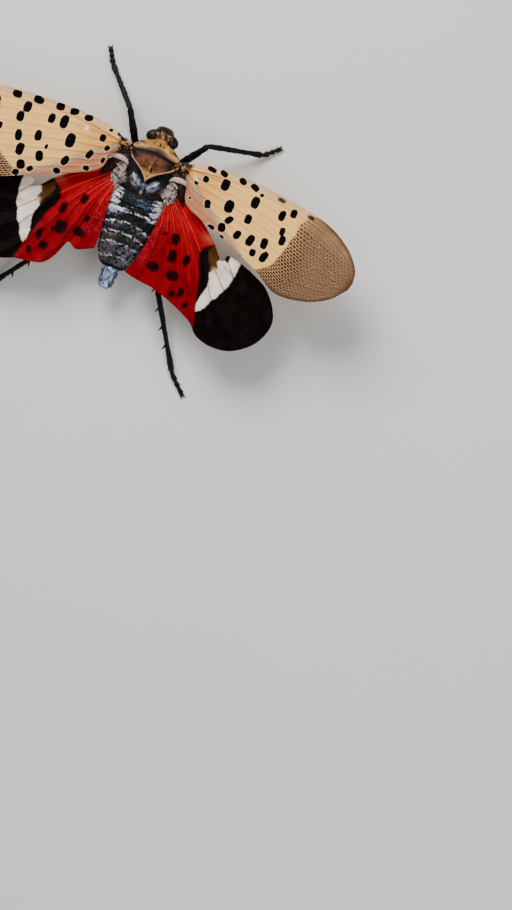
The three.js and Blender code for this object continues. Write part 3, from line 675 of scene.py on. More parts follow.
# %% Hindwing shape
HINDWING_ROOT = [(3.05, -1.15), (3.05, -1.75), (3.05, -2.4), (2.95, -3.05)]
HINDWING_COSTA = [
    (3.05, -1.15), (4.9, -2.0), (7.0, -3.4), (8.7, -4.9), (9.3, -5.9),
    (10.2, -6.75), (11.15, -6.8), (11.4, -6.1), (12.8, -6.3), (14.4, -6.8),
]
HINDWING_TIP = [
    (14.4, -6.8), (16.5, -7.85), (18.1, -9.7), (18.6, -11.6),
    (17.7, -13.9), (15.6, -15.6), (13.3, -16.0), (11.4, -15.5),
]
HINDWING_LOBES = {
    "left": [
        (10.1, -15.0), (8.6, -14.75), (7.1, -14.3), (6.1, -13.0), (5.4, -11.2), (4.2, -11.6), (2.42, -10.75),
    ],
    "right": [
        (10.2, -14.4), (8.6, -13.6), (6.9, -12.95), (5.2, -12.45), (3.9, -12.3), (2.7, -12.15), (1.6, -11.9),
    ],
}
HINDWING_INNER = {
    "left": [(2.95, -3.05), (2.85, -5.0), (2.7, -6.9), (2.5, -8.7), (2.42, -10.75)],
    "right": [(2.95, -3.05), (2.85, -5.0), (2.7, -7.0), (2.4, -9.2), (1.6, -11.9)],
}
HINDWING_VEINS = [0.08, 0.2, 0.33, 0.46, 0.58, 0.7, 0.81, 0.92]
HINDWING_HEIGHT = 4.75
HINDWING_LIFT = math.radians(2.5)
HINDWING_PLEAT = 0.13
HINDWING_OVER_BODY = 0.3


def hindwing_sheet(side, s, t):
    """(1-t) costa(s) + t inner(s) + (1-s) root(t) + s outer(t), less the blend of the four corners. Its
    height grows by the lift outward, by 0.3 t^3 over the body, and by the pleat's cosine across veins."""
    costa, inner = smooth_line(HINDWING_COSTA, s), smooth_line(HINDWING_INNER[side], s)
    root, outer = smooth_line(HINDWING_ROOT, t), smooth_line(HINDWING_TIP + HINDWING_LOBES[side], t)
    u, v = s[..., None], t[..., None]
    near_corners = (1 - v) * costa[0, 0] + v * inner[0, 0]
    far_corners = (1 - v) * costa[-1, -1] + v * inner[-1, -1]
    flat = (1 - v) * costa + v * inner + (1 - u) * root + u * outer
    flat -= (1 - u) * near_corners + u * far_corners
    count = len(HINDWING_VEINS)
    turn = np.interp(t, [0, *HINDWING_VEINS, 1], [0.5, *range(1, count + 1), count + 0.5])
    z = HINDWING_HEIGHT + math.tan(HINDWING_LIFT) * (flat[..., 0] - HINDWING_ROOT[0][0])
    z += HINDWING_OVER_BODY * t**3
    z += HINDWING_PLEAT * np.cos(2 * np.pi * turn) * np.minimum(1, 1.5 * s)
    return np.stack([SIDES[side] * flat[..., 0], flat[..., 1], z], -1)


print("hindwing sheet ready")

# %% Hindwing markings
# Points of outlines, so far outward and so far forward. The wedge and the patch are closed
RED_EDGE = [
    (9.6, -4.9), (9.0, -5.6), (8.1, -6.2), (7.85, -7.0), (8.15, -8.0), (8.65, -9.0),
    (8.95, -10.0), (9.2, -11.0), (9.45, -12.0), (9.75, -13.0), (10.05, -14.0), (10.3, -15.6),
]
RED_FIELD = RED_EDGE + [(0.0, -20.0), (0.0, 0.0), (8.8, -1.0)]
WHITE_WEDGE = [
    (10.3, -6.6), (11.2, -6.85), (11.3, -5.8), (12.5, -6.0), (12.45, -7.4), (12.35, -8.2),
    (12.15, -9.2), (11.75, -9.9), (11.35, -10.9), (10.95, -11.4), (10.65, -12.2), (10.25, -12.8),
    (9.9, -13.0), (9.65, -12.4), (9.7, -11.5), (9.95, -10.6), (10.1, -10.0), (9.95, -9.2),
    (9.7, -8.6), (10.0, -8.2), (10.4, -7.8), (10.05, -7.2),
]
BROWN_PATCH = [
    (10.55, -6.95), (9.9, -6.0), (9.3, -5.3), (8.9, -5.6), (8.6, -6.4), (9.0, -7.4),
    (9.95, -8.7), (10.45, -8.3), (10.2, -7.5),
]
WEDGE_VEINS = [[(11.1, -6.7), (12.3, -8.1)], [(10.1, -8.0), (12.0, -9.9)], [(10.1, -9.9), (11.2, -11.6)]]
ZONES_OUT = {"left": 0.0, "right": 0.5}  # how much further out the zones of colour lie
HINDWING_SPOTS = {
    "left": [
        (-5.24, -6.2, 0.7, 1.15, -8), (-7.03, -7.9, 0.75, 1.3), (-4.16, -8.1, 0.6, 0.6),
        (-6.5, -10.0, 1.35, 1.5), (-7.2, -10.5, 0.5, 0.5), (-4.46, -9.8, 1.3, 0.9),
        (-8.4, -11.55, 0.62, 1.2), (-7.5, -12.6, 1.0, 0.85, -20), (-8.9, -13.5, 0.55, 0.7),
    ],
    "right": [
        (4.3, -6.45, 0.35, 0.35), (5.6, -6.55, 0.9, 1.15, 15), (5.94, -8.4, 0.95, 1.3),
        (4.4, -10.2, 1.2, 1.05), (6.75, -10.4, 1.3, 1.0), (7.6, -8.3, 0.75, 1.2),
        (8.3, -11.8, 0.65, 1.1), (7.4, -12.3, 0.8, 0.7), (9.2, -12.9, 0.6, 0.7),
    ],
}

print(sum(len(spots) for spots in HINDWING_SPOTS.values()), "hindwing spots")

# %% Distance to lines and outlines
def line_gap(x, y, line, closed=False):
    """Distance to the nearest stretch of a chain of points. Seen from a to b, the nearest point lies at
    share clip(((p-a) . (b-a)) / |b-a|^2, 0, 1) of the stretch."""
    stretches = zip(line, line[1:] + line[:1]) if closed else zip(line, line[1:])
    nearest = np.full(x.shape, 99.0)
    for (ax, ay), (bx, by) in stretches:
        wx, wy = bx - ax, by - ay
        share = np.clip(((x - ax) * wx + (y - ay) * wy) / (wx * wx + wy * wy), 0, 1)
        nearest = np.minimum(nearest, np.hypot(x - ax - share * wx, y - ay - share * wy))
    return nearest


def inside(x, y, outline):
    """Whether a point lies in the outline: a ray to the right crosses it an odd number of times."""
    odd = np.zeros(x.shape, bool)
    for (ax, ay), (bx, by) in zip(outline, outline[1:] + outline[:1]):
        height = by - ay if by != ay else 1e-9
        odd ^= ((ay > y) != (by > y)) & (x < ax + (y - ay) * (bx - ax) / height)
    return odd


print("distances ready")

# %% Hindwing marks
def hindwing_marks(side, points, s, t):
    """Distances to the red field, the white wedge and the spots, negative inside, and plain ones to veins
    and the brown patch. The rest are places and soft mounds."""
    wide, y = np.abs(points[..., 0]), points[..., 1]
    x = wide - ZONES_OUT[side]
    width = np.linalg.norm(np.gradient(points, axis=1), axis=-1) * (t.shape[1] - 1)
    between = np.add(HINDWING_VEINS[:-1], HINDWING_VEINS[1:]) / 2
    return {
        "spot": oval_gap(points, HINDWING_SPOTS[side]),
        "red": line_gap(x, y, RED_EDGE) * np.where(inside(x, y, RED_FIELD), -1, 1),
        "white": line_gap(x, y, WHITE_WEDGE, True) * np.where(inside(x, y, WHITE_WEDGE), -1, 1),
        "stripe": np.minimum.reduce([line_gap(x, y, vein) for vein in WEDGE_VEINS]),
        "vein": vein_gap(t, HINDWING_VEINS, width),
        "branch": vein_gap(t, between, width),
        "out": s,
        "fan": t * 60,
        "brown": inside(x, y, BROWN_PATCH) * 1.0,
        "brown_gap": line_gap(x, y, BROWN_PATCH, True),
        "tan": mound(x, y, (10.15, -8.15), (0.32, 0.34)),
        "root": np.minimum(1.3 * mound(wide, y, (4.35, -2.1), (0.7, 0.75), 0.4), 1),
        "pink": mound(wide, y, (9.1, -5.0), (0.8, 0.45)),
        # inner: where a pinkish painted sheen lies, near the front part of the inner margin beside the
        # abdomen
        "inner": ease(t, 0.82, 0.97) * (1 - ease(-y, 8.5, 11.5)),
    }


print(len(HINDWING_VEINS), "veins in the fan")

# %% Hindwing relief
HIND_MEMBRANE = 0.18
FAN_LENGTH = 12
FAN_WIDTH = 20


def hindwing_shape(side):
    """The sheet with its thickness, ridges exp(-(d / 0.09)^2) on the veins and half as high on the branches,
    and soft waves. Toward the margins it thins, as far as the fan's rough length and width say."""
    s, t = grid(np.linspace(0, 1, 130), np.linspace(0, 1, 250))
    points = hindwing_sheet(side, s, t)
    marks = hindwing_marks(side, points, s, t)
    ridge = 0.08 * bell(marks["vein"], 0.09) * (1 - 0.6 * s)
    ridge += 0.04 * bell(marks["branch"], 0.08) * ease(s, 0.2, 0.4)
    wavy = 0.04 * ripples(points, 1.8, seed=8) * ease(s, 0.1, 0.5)
    rim = np.minimum(np.minimum(s, 1 - s) * FAN_LENGTH, np.minimum(t, 1 - t) * FAN_WIDTH)
    half = HIND_MEMBRANE / 2 * rounded_edge(rim)
    return slab(lifted(points, half + ridge + wavy), lifted(points, wavy - half), marks)


print("membrane", HIND_MEMBRANE, "mm thick")

# %% [markdown]
# ## The hindwing's finish
# The fan is crimson with black spots and orange veins that glow near the root. Past the red field comes a
# dark band, the white wedge with its brown veins, and the sooty tip. All of these edges are distances
# stored on the mesh, roughened a little so that the colours meet as pigment does, not as cut paper.

# %% Hindwing finish
def hindwing_finish():
    f = Finish("hindwing_membrane", 0.55, 0.035)
    ragged = (f.noise(0.5, 3) - 0.5) * 0.35
    fanwise = f.flat_place(f.mark("out") * 3, f.mark("fan"))
    fan_lines, thin_lines = f.noise(1.0, 3, 0.6, vector=fanwise), f.noise(0.35, 2, 0.6, vector=fanwise)
    blotch, specks = f.noise(1.1, 3), f.noise(0.3, 3)
    near_root = f.mark("out").step(0.58, 0.06)
    fuzz = thin_lines.step(0.35, 0.7) * specks.step(0.42, 0.7) * 0.6
    vein = f.mark("vein").step(0.075, 0.02) * specks.step(0.32, 0.5)
    branch = f.mark("branch").step(0.06, 0.01) * specks.step(0.36, 0.54)
    red = f.coats(
        f.mix((100, 0, 13), (132, 0, 15), fan_lines, 0.3, 0.7),
        ((150, 0, 18), blotch, 0.4, 0.7, 0.6),
        ((200, 0, 20), near_root * thin_lines.step(0.4, 0.65)),
        # painted sheen, pinkish, along the inner margin
        ((196, 64, 72), f.mark("inner") * fuzz),
        ((224, 74, 60), vein * near_root.spread(0.03, 0.75)),
        ((208, 44, 42), branch * near_root.spread(0.0, 0.4)),
        ((196, 104, 82), f.mark("pink") * 0.8),
        (f.mix((20, 5, 5), (96, 36, 24), fan_lines, 0.35, 0.65), f.mark("root") * 0.95),
    )
    soot = f.coats(
        f.mix((4, 1, 1), (14, 5, 4), fan_lines, 0.4, 0.75),
        ((28, 10, 8), blotch, 0.45, 0.7, 0.5),
        (
            f.mix((34, 10, 1), (104, 62, 26), thin_lines, 0.4, 0.62),
            f.mark("brown") * (f.mark("brown_gap") + ragged * 0.8).step(0.02, 0.3),
        ),
        ((214, 166, 112), f.mark("tan") * specks.spread(0.4, 1.4)),
    )
    white = f.coats(
        f.mix((226, 208, 192), (255, 240, 226), f.noise(0.9, 4), 0.35, 0.7),
        ((130, 92, 66), "stripe", 0.11, 0.03, 0.8),
        ((190, 140, 92), f.mark("tan") * 0.6),
    )
    colour = f.coats(
        red,
        (soot, f.mark("red") + ragged, -0.12, 0.16),
        (white, f.mark("white") + ragged, 0.12, -0.1),
        (f.mix((6, 0, 0), (36, 2, 2), specks, 0.4, 0.7), f.mark("spot") + ragged * 1.3, 0.12, -0.13, 0.97),
    )
    return f.done(colour, fan_lines * 0.8 + f.noise(0.15), 0.035)


make_pair("hindwing_*_membrane", hindwing_shape, hindwing_finish(), "hindwing_membrane", "hindwing_*")

# %% [markdown]
# ## Sections of the body
# The trunk of an insect is a row of hardened rings. Each part here is a set of cross sections: rounded
# boxes (superellipses) whose half width, top and bottom change along the body. The angle steps are finer
# on the back, where the eye looks, than on the belly.

# %% Body sections
def section(angle, half_width, up, down, power):
    """Superellipse in polar form, with angle 0 on top: r = (|sin/w|^p + |cos/h|^p)^(-1/p), where h is up
    or down. Returns r sin and r cos."""
    across, high = np.sin(angle), np.cos(angle)
    half_height = np.where(high > 0, up, down)
    r = (np.abs(across / half_width) ** power + np.abs(high / half_height) ** power) ** (-1 / power)
    return r * across, r * high


def body_point(y, angle, rows, power, grow=0.0):
    """The point at an angle round the section at y. The rows hold y, half width, top and bottom, and grow
    is added all round."""
    half_width, top, bottom = profile(rows, y)
    middle = (top + bottom) / 2
    x, z = section(angle, half_width + grow, top - middle + grow, middle - bottom + grow, power)
    return np.stack([x, y, middle + z], -1)


def body_grid(rows, steps, sides, power, crowd=0.4):
    """Grids of y from the first row to the last, of angles 2 pi u - crowd sin(2 pi u), which crowd on top,
    and of their points."""
    turn = once_round(sides)
    y, angle = grid(np.linspace(rows[0][0], rows[-1][0], steps), turn - crowd * np.sin(turn))
    return y, angle, body_point(y, angle, rows, power)


def back_share(angle):
    """1 on the back and 0 below the body's widest line, as max(0, cos angle)^0.6."""
    return np.maximum(0, np.cos(angle)) ** 0.6


def cuticle(name, roughness, gloss, grain_size, blob_size):
    """A new finish, with fine grain and blobs of those sizes."""
    f = Finish(name, roughness, gloss)
    return f, f.noise(grain_size, 4, 0.65), f.noise(blob_size, 3, 0.6)


print("body sections ready")

# %% [markdown]
# ## Fine hairs and wax threads
# Hairs on the legs and threads of wax on the body are thin spikes. Hundreds of curves would be slow, so one
# mesh holds them all: three sides, three rings and a point each, worked out at once.

# %% Hairs
def hairs(roots, ways, lengths, thickness, droop=0.15):
    """Middle line root + way l f - z droop l f^2 for f at 0, 0.4 and 0.75, radius thickness (1 - 0.8f), and
    a point at f = 1. The three corners stand 120 degrees apart round the way."""
    f = np.array([0.0, 0.4, 0.75, 1.0])
    lengths = lengths[:, None, None]
    middle = roots[:, None] + ways[:, None] * lengths * f[:, None]
    middle = middle - np.array([0, 0, 1]) * droop * lengths * (f**2)[:, None]
    side = unit(np.cross(ways, [0.31, 0.2, 0.93]))
    over = np.cross(ways, side)
    turn = once_round(3)[:, None]
    corner = side[:, None] * np.cos(turn) + over[:, None] * np.sin(turn)
    rings = middle[:, :3, None] + corner[:, None] * (thickness * (1 - 0.8 * f[:3]))[:, None, None]
    points = np.concatenate([rings.reshape(len(roots), 9, 3), middle[:, 3:]], 1).reshape(-1, 3)
    one = [[2, 1, 0], [0, 1, 4, 3], [1, 2, 5, 4], [2, 0, 3, 5], [3, 4, 7, 6], [4, 5, 8, 7], [5, 3, 6, 8]]
    one += [[6, 7, 9], [7, 8, 9], [8, 6, 9]]
    faces = [[index + start for index in face] for start in range(0, len(points), 10) for face in one]
    return points, outward(points, faces), None


print("hairs ready")

# %% [markdown]
# ## Thorax
# The block under the back plates. Behind the shield it shows a black V, then two waxy white leaf-shaped
# lobes, blue-grey wax between them and a small tan knob. Each is a low mound in the grid, and the same
# mounds weight the colours.

# %% Thorax shape
THORAX = [
    (2.75, 1.3, 5.0, 3.3), (2.3, 1.75, 5.2, 3.1), (1.8, 2.0, 5.45, 2.9), (1.2, 2.3, 5.7, 2.75),
    (0.5, 2.58, 5.9, 2.6), (-0.4, 2.72, 5.95, 2.6), (-1.6, 2.74, 5.75, 2.6), (-2.6, 2.68, 5.45, 2.65),
    (-3.4, 2.5, 5.1, 2.8), (-4.1, 2.2, 4.7, 3.1),
]


def thorax_marks(x, y):
    """Mounds for the lobes, the knob and the wax, the same on both sides."""
    wide = np.abs(x)
    crest = mound(wide, y, (1.28, -1.9), (0.17, 0.6), -0.62)
    low_crest = 0.7 * mound(wide, y, (0.62, -2.5), (0.12, 0.42), -0.9)
    between = mound(x, y, (0.05, -2.55), (0.34, 0.5))
    flank = mound(wide, y, (2.3, -2.5), (0.55, 1.0)) + 0.6 * mound(wide, y, (2.45, 0.0), (0.14, 0.5))
    return {
        "lobe": mound(wide, y, (1.04, -2.3), (0.58, 0.92), -0.72),
        "crest": np.maximum(crest, low_crest),
        "knob": mound(x, y, (0.02, -3.3), (0.2, 0.34)),
        "between": np.maximum(between, 0.8 * mound(x, y, (0.0, -2.02), (0.12, 0.14))),
        "flank": np.minimum(flank, 1),
        "brown": mound(wide, y, (1.75, -2.3), (0.35, 0.6)) + 0.7 * mound(wide, y, (0.9, -3.35), (0.7, 0.3)),
    }


def thorax_shape():
    """Rings from THORAX. On the back the lobes rise 0.34, the knob 0.26, and a valley 0.16 deep runs
    between them and the shield. Everything is roughened by ripples."""
    y, angle, points = body_grid(THORAX, 240, 190, 2.8)
    x, back = points[..., 0], back_share(angle)
    marks = thorax_marks(x, y)
    relief = 0.34 * marks["lobe"] + 0.12 * marks["crest"] + 0.26 * marks["knob"] + 0.1 * marks["between"]
    valley = mound(np.abs(x), y, (0.9, -1.25), (0.26, 0.95), -0.95)
    groove = mound(x, y, (0.0, -2.98), (1.5, 0.09))
    relief -= 0.16 * valley + 0.12 * groove * (1 - marks["knob"])
    coarse, fine = 0.04 * ripples(points, 0.5, seed=11), 0.016 * ripples(points, 0.16, seed=12)
    relief += coarse * (1 - marks["lobe"]) + fine
    points = lifted(points, relief * back)
    belly = 0.03 * ripples(points, 0.7, seed=13) * (1 - back)
    points += belly[..., None] * (points - points.mean(1, keepdims=True))
    return tube(points, {mark: values * back for mark, values in marks.items()})


print(len(THORAX), "sections of the thorax")

# %% Thorax finish
def thorax_finish():
    f, grain, blobs = cuticle("black_waxy_cuticle", 0.5, 0.15, 0.15, 0.4)
    tan = f.mix((112, 84, 58), (214, 186, 150), grain, 0.35, 0.65)
    colour = f.coats(
        f.mix((2, 2, 3), (20, 19, 24), blobs, 0.4, 0.7),
        ((96, 74, 62), f.mark("brown") * grain.step(0.45, 0.62)),
        (
            f.mix((34, 42, 58), (118, 130, 150), grain, 0.4, 0.62),
            f.mark("between") * grain.spread(0.4, 1.4), 0.25, 0.7,
        ),
        (
            f.mix((46, 50, 64), (132, 136, 152), blobs, 0.36, 0.6),
            f.mark("lobe") * grain.spread(0.6, 1.3), 0.22, 0.6,
        ),
        (
            f.mix((150, 150, 160), (236, 230, 226), grain, 0.35, 0.6),
            f.mark("crest") * grain.spread(0.5, 1.4), 0.3, 0.75,
        ),
        (
            f.mix((30, 26, 28), (170, 156, 150), grain, 0.42, 0.6),
            f.mark("flank") * blobs.spread(0.4, 1.4), 0.35, 0.6,
        ),
        (tan, "knob", 0.35, 0.65),
    )
    return f.done(colour, grain + blobs * 0.6, 0.045, grain.spread(0.4, 0.75))


make_piece("thorax_skin", thorax_shape(), thorax_finish(), "thorax_cuticle", "thorax")

# %% [markdown]
# ## Collar
# The pronotum is a tan band bent over the front of the thorax, pointed at its two outer corners. A grid
# runs across it from side to side and along it from the rear margin to the front. It sinks to the body at
# its margins, which closes the slit that the solids need between them.

# %% Collar sheet
COLLAR_SPAN = 1.8
COLLAR_HALF_WIDTH = 3.1
COLLAR_FRONT = [
    (0, 2.95), (0.45, 2.9), (0.9, 2.74), (1.35, 2.54), (1.8, 2.42),
    (2.2, 2.24), (2.6, 1.97), (2.9, 1.66), (3.1, 1.48),
]
COLLAR_REAR = [(0, 1.27), (0.5, 1.24), (1.0, 1.14), (1.6, 1.04), (2.2, 0.98), (2.7, 1.0), (3.1, 1.12)]


def collar_sheet(lift):
    """The angle gives the reach outward, and that gives the rear and front margins. The point lies on the
    thorax section there, grown by lift. Below the side corner the band narrows and hugs the body."""
    share, angle = grid(np.linspace(0, 1, 110), np.linspace(-COLLAR_SPAN, COLLAR_SPAN, 300))
    reach = np.abs(section(angle, COLLAR_HALF_WIDTH, 1.6, 1.4, 3.0)[0])
    low = ease(np.abs(angle), 1.15, COLLAR_SPAN)
    rear = profile(COLLAR_REAR, reach)[0] + 0.1 * low
    front = profile(COLLAR_FRONT, reach)[0] + 0.35 * low * (1 - low)
    y = rear + (front - rear) * share
    return body_point(y, angle, THORAX, 3.0, lift * (1 - 0.75 * low)), share


print("the collar spans", 2 * COLLAR_HALF_WIDTH, "mm")

# %% Collar shape
COLLAR_MOTTLES = [
    ((-1.3, 1.95), (0.5, 0.3)), ((1.4, 1.95), (0.45, 0.26)), ((0.5, 2.62), (0.3, 0.22)),
    ((-0.5, 2.5), (0.35, 0.3)), ((-1.7, 1.5), (0.5, 0.14)),
]
COLLAR_DOTS = [
    ((0.36, 2.16), (0.13, 0.1)), ((-0.36, 2.16), (0.13, 0.1)), ((-1.22, 1.92), (0.2, 0.1)),
    ((1.25, 2.02), (0.15, 0.12)), ((1.5, 1.8), (0.16, 0.1)),
]


def collar_marks(x, y, share, dent):
    """The dark front edge and rear shade, the painted shade in the middle of the rear part, mottles, dots
    and pale places.
    """
    wide = np.abs(x)
    front_edge = 0.9 * ease(share - 0.6, 0, 0.16) * ease(wide, 1.0, 1.6)
    pale = mound(wide, y, (1.75, 1.5), (0.75, 0.16), -0.2)
    return {
        "rear_shade": ease(0.42 * (1 - 0.55 * ease(wide, 0.4, 2.6)) - share, 0.0, 0.34),
        "edge": np.minimum(ease(0.07 - share, 0, 0.06) + front_edge, 1),
        # middle: painted shade, a purple-grey pool in the middle of the collar's rear part
        "middle": mound(x, y, (0.12, 1.5), (0.5, 0.36)),
        "mottle": np.clip(mounds(x, y, COLLAR_MOTTLES), 0, 1),
        "dots": np.minimum(dent + 0.8 * mounds(x, y, COLLAR_DOTS), 1),
        "pale": pale + 0.8 * mound(x, y, (0.65, 1.95), (0.2, 0.16)),
    }


def collar_shape():
    """Its top stands 0.6 over the body in the middle of the band and 0.3 at the margins, with a low keel,
    dimples beside it and a rolled rear margin."""
    flat, share = collar_sheet(0.0)
    x, y = flat[..., 0], flat[..., 1]
    cushion = np.sqrt(np.clip(np.minimum(share, 1 - share) / 0.16, 0, 1))
    keel = mound(x, share, (0.0, 0.55), (0.09, 0.4))
    dimples = mound(np.abs(x), y, (0.36, 2.25), (0.14, 0.14))
    dimples += 0.7 * mound(np.abs(x), y, (1.55, 1.95), (0.4, 0.16))
    dent = mound(x, y, (0.08, 2.3), (0.07, 0.26))
    lift = 0.3 + 0.3 * cushion + 0.06 * keel + 0.05 * bell(share - 0.05, 0.06) - 0.09 * dimples - 0.1 * dent
    lift += 0.02 * ripples(flat, 0.45, seed=21) + 0.008 * ripples(flat, 0.15, seed=22)
    return slab(collar_sheet(lift)[0], collar_sheet(-0.12)[0], collar_marks(x, y, share, dent))


print(len(COLLAR_MOTTLES) + len(COLLAR_DOTS), "mottles and dots")

# %% Collar finish
def collar_finish():
    f, grain, blobs = cuticle("tan_collar", 0.55, 0.15, 0.13, 0.34)
    patches = f.noise(0.7, 2)
    colour = f.coats(
        f.mix((140, 94, 44), (196, 144, 80), blobs, 0.36, 0.62),
        ((132, 82, 34), patches, 0.42, 0.6, 0.7),
        ((220, 168, 100), grain, 0.5, 0.7, 0.5),
        ((228, 182, 130), f.mark("pale") * 0.7),
        (f.mix((80, 42, 14), (122, 68, 26), grain), f.mark("mottle") * blobs.step(0.42, 0.56)),
        ((70, 50, 44), f.mark("rear_shade") * patches.step(0.3, 0.6).spread(0.75, 1.0)),
        # painted shade in the middle of the collar's rear part
        ((52, 42, 50), f.mark("middle") * 0.9),
        ((40, 22, 12), "dots", 0.25, 0.75),
        ((24, 14, 10), f.mark("edge") * blobs.spread(0.2, 1.6), 0.3, 0.6),
    )
    return f.done(colour, grain + blobs * 0.8, 0.04, grain.spread(0.45, 0.7))


make_piece("collar_plate", collar_shape(), collar_finish(), "tan_cuticle", "pronotum")

# %% [markdown]
# ## Shield
# The mesonotum is the reddish-brown shield behind the collar. Its two rear margins are raised pale rims
# that meet in a point, and a pale keel runs to it. The half width at each y comes from a table, and the
# height over the thorax from the distance to the margin.

# %% Shield shape
SHIELD = [
    (0.95, 2.3), (0.55, 2.62), (0.2, 2.56), (-0.1, 2.25),
    (-0.5, 1.65), (-1.0, 0.95), (-1.5, 0.42), (-2.02, 0.04),
]
SHIELD_FRONT = 1.3


def shield_marks(x, y, margin, keel):
    """The pale rim and keel, the painted shadow of the collar along the front, the dark corners, the yellow
    point and two dark dashes.
    """
    corners = np.maximum(mound(x, y, (-2.1, 0.35), (0.5, 0.6)), mound(x, y, (2.0, 0.35), (0.62, 0.6)))
    dark = 0.6 * mound(x, y, (0.36, 0.2), (0.2, 0.7)) + 0.6 * mound(x, y, (-0.75, -0.55), (0.5, 0.22), -0.5)
    return {
        "margin": margin + 0.3 * ease(y, 0.5, 0.8),
        "keel": keel,
        "corner": corners,
        # front: the painted shadow that the collar's rear edge casts on the shield's front
        "front": ease(y + 0.12 * np.abs(x), 0.7, 1.15),
        "point": ease(-y, 0.6, 1.2),
        "red": mound(x, y, (0.24, -0.7), (0.13, 0.36), 0.15),
        "dark": dark,
    }


def shield_shape():
    """x = half width(y) share. The top stands 0.28 to 0.52 over the thorax, rises by 0.1 on the rim and
    0.13 on the keel, and sinks in two long hollows beside the keel."""
    y, share = grid(np.linspace(SHIELD_FRONT, SHIELD[-1][0], 150), np.linspace(-1, 1, 170))
    front_y, front_half = SHIELD[0]
    ahead = front_half + (y - front_y) * 0.3
    half = np.where(y > front_y, ahead, profile(SHIELD, np.minimum(y, front_y))[0])
    x = half * share
    wide = np.abs(x)
    half_width, top, bottom = profile(THORAX, y)
    bow = (1 - np.abs(x / (half_width + 0.25)) ** 2.6) ** (1 / 2.6)
    middle = (top + bottom) / 2
    margin = np.abs(half) * (1 - np.abs(share)) * 0.72
    rim = bell(margin - 0.09, 0.06) * ease(-y, -0.9, -0.4)
    keel = bell(x, 0.08) * ease(-y, -0.5, 0.4)
    hollow = mound(wide, y, (0.45, -0.5), (0.3, 0.6), 0.3) + 0.6 * mound(wide, y, (1.5, 0.35), (0.6, 0.35))
    lift = 0.28 + 0.24 * np.sqrt(np.clip(margin / 0.14, 0, 1)) + 0.1 * rim + 0.13 * keel
    lift += 0.06 * mound(wide, y, (0.85, 0.25), (0.6, 0.5)) - 0.08 * hollow + 0.02 * ease(-y, 1.2, 1.9)
    points = np.stack([x, y, middle + (top - middle) * bow], -1)
    lift += 0.014 * ripples(points, 0.4, seed=31) + 0.006 * ripples(points, 0.13, seed=32)
    return slab(lifted(points, lift), lifted(points, -0.12), shield_marks(x, y, margin, keel))


print("the shield is", round(SHIELD_FRONT - SHIELD[-1][0], 2), "mm long")

# %% Shield finish
def shield_finish():
    f, grain, blobs = cuticle("brown_shield", 0.55, 0.12, 0.12, 0.4)
    patches = f.noise(0.8, 2)
    yellow = f.mix((150, 100, 40), (206, 152, 76), blobs, 0.35, 0.65)
    rim = f.mix((176, 124, 72), (240, 200, 148), grain, 0.35, 0.65)
    colour = f.coats(
        f.mix((76, 42, 26), (122, 74, 46), blobs, 0.38, 0.64),
        ((84, 54, 28), patches, 0.45, 0.65, 0.5),
        ((150, 98, 62), grain, 0.52, 0.72, 0.45),
        ((46, 22, 14), "dark"),
        ((22, 5, 3), "corner"),
        # painted shadow of the collar along the shield's front
        ((20, 11, 11), "front"),
        (yellow, f.mark("point") * patches.spread(0.3, 1.2)),
        (yellow, f.mark("keel") * 0.85),
        ((34, 4, 2), "red", 0.3, 0.7),
        (rim, f.mark("margin") + (blobs - 0.5) * 0.08, 0.2, 0.12),
        ((14, 9, 8), "margin", 0.04, 0.0),
    )
    return f.done(colour, grain + blobs * 0.8, 0.04, grain.spread(0.45, 0.7))


make_piece("shield_plate", shield_shape(), shield_finish(), "brown_cuticle", "mesonotum")

# %% [markdown]
# ## Head
# From above, the head is a short blunt box between the eyes: a mottled crown, and a dark knobby brow in
# front. Below the brow the face narrows to the beak. The crown and brow come from one set of rings along
# the body, and the face from another that runs downward; both are closed, and they pass into each other.

# %% Face
# Each row: the height, how far ahead the middle lies, the half width and the half depth
FACE = [
    (4.9, 3.55, 0.5, 0.5), (4.5, 3.7, 0.74, 0.62), (4.0, 3.72, 0.84, 0.57), (3.5, 3.6, 0.78, 0.5),
    (3.0, 3.36, 0.58, 0.42), (2.5, 3.08, 0.36, 0.32), (2.2, 2.94, 0.24, 0.24),
]


def face_shape():
    """Rings of an ellipse at heights from 4.9 down to 2.2, with three keels down the front. Returns how dark
    each point is as well."""
    z, turn = grid(np.linspace(FACE[0][0], FACE[-1][0], 90), once_round(90))
    ahead, wide, deep = profile(FACE, z)
    keels = bell(np.sin(turn), 0.12) + 0.8 * bell(np.abs(np.sin(turn)) - 0.7, 0.12)
    grow = 1 + 0.07 * keels * (np.cos(turn) > 0) * ease(z, 2.6, 3.2)
    grow = grow + 0.02 * ripples(np.stack([turn, z, z], -1), 0.8, seed=43)
    rings = np.stack([wide * grow * np.sin(turn), ahead + deep * grow * np.cos(turn), z], -1)
    return tube(rings), np.append((0.75 + 0.25 * ease(z, 3.9, 4.4)).ravel(), [1, 0.8])


print("the face is", round(FACE[0][0] - FACE[-1][0], 1), "mm high")

# %% Head shape
HEAD = [
    (2.35, 0.74, 5.0, 3.3), (2.6, 0.88, 5.15, 3.25), (3.0, 0.98, 5.32, 3.2), (3.5, 1.02, 5.45, 3.25),
    (3.9, 1.0, 5.36, 3.45), (4.15, 0.88, 5.16, 3.8), (4.32, 0.66, 4.94, 4.1), (4.42, 0.38, 4.76, 4.35),
]
# Knobs have a place and a size, spots a place and two half sizes
BROW_KNOBS = [
    (-0.72, 3.98, 0.24), (0.74, 3.98, 0.24), (-0.36, 4.24, 0.22), (0.38, 4.24, 0.22), (0.02, 4.34, 0.18),
    (-0.9, 3.6, 0.2), (0.9, 3.6, 0.2), (-0.3, 3.86, 0.14), (0.34, 3.84, 0.14),
]
TAN_SPOTS = [
    (-0.66, 3.4, 0.26, 0.2), (0.6, 3.6, 0.3, 0.24), (-0.28, 3.6, 0.14, 0.32), (0.02, 3.2, 0.22, 0.24),
    (0.66, 3.2, 0.16, 0.16),
]


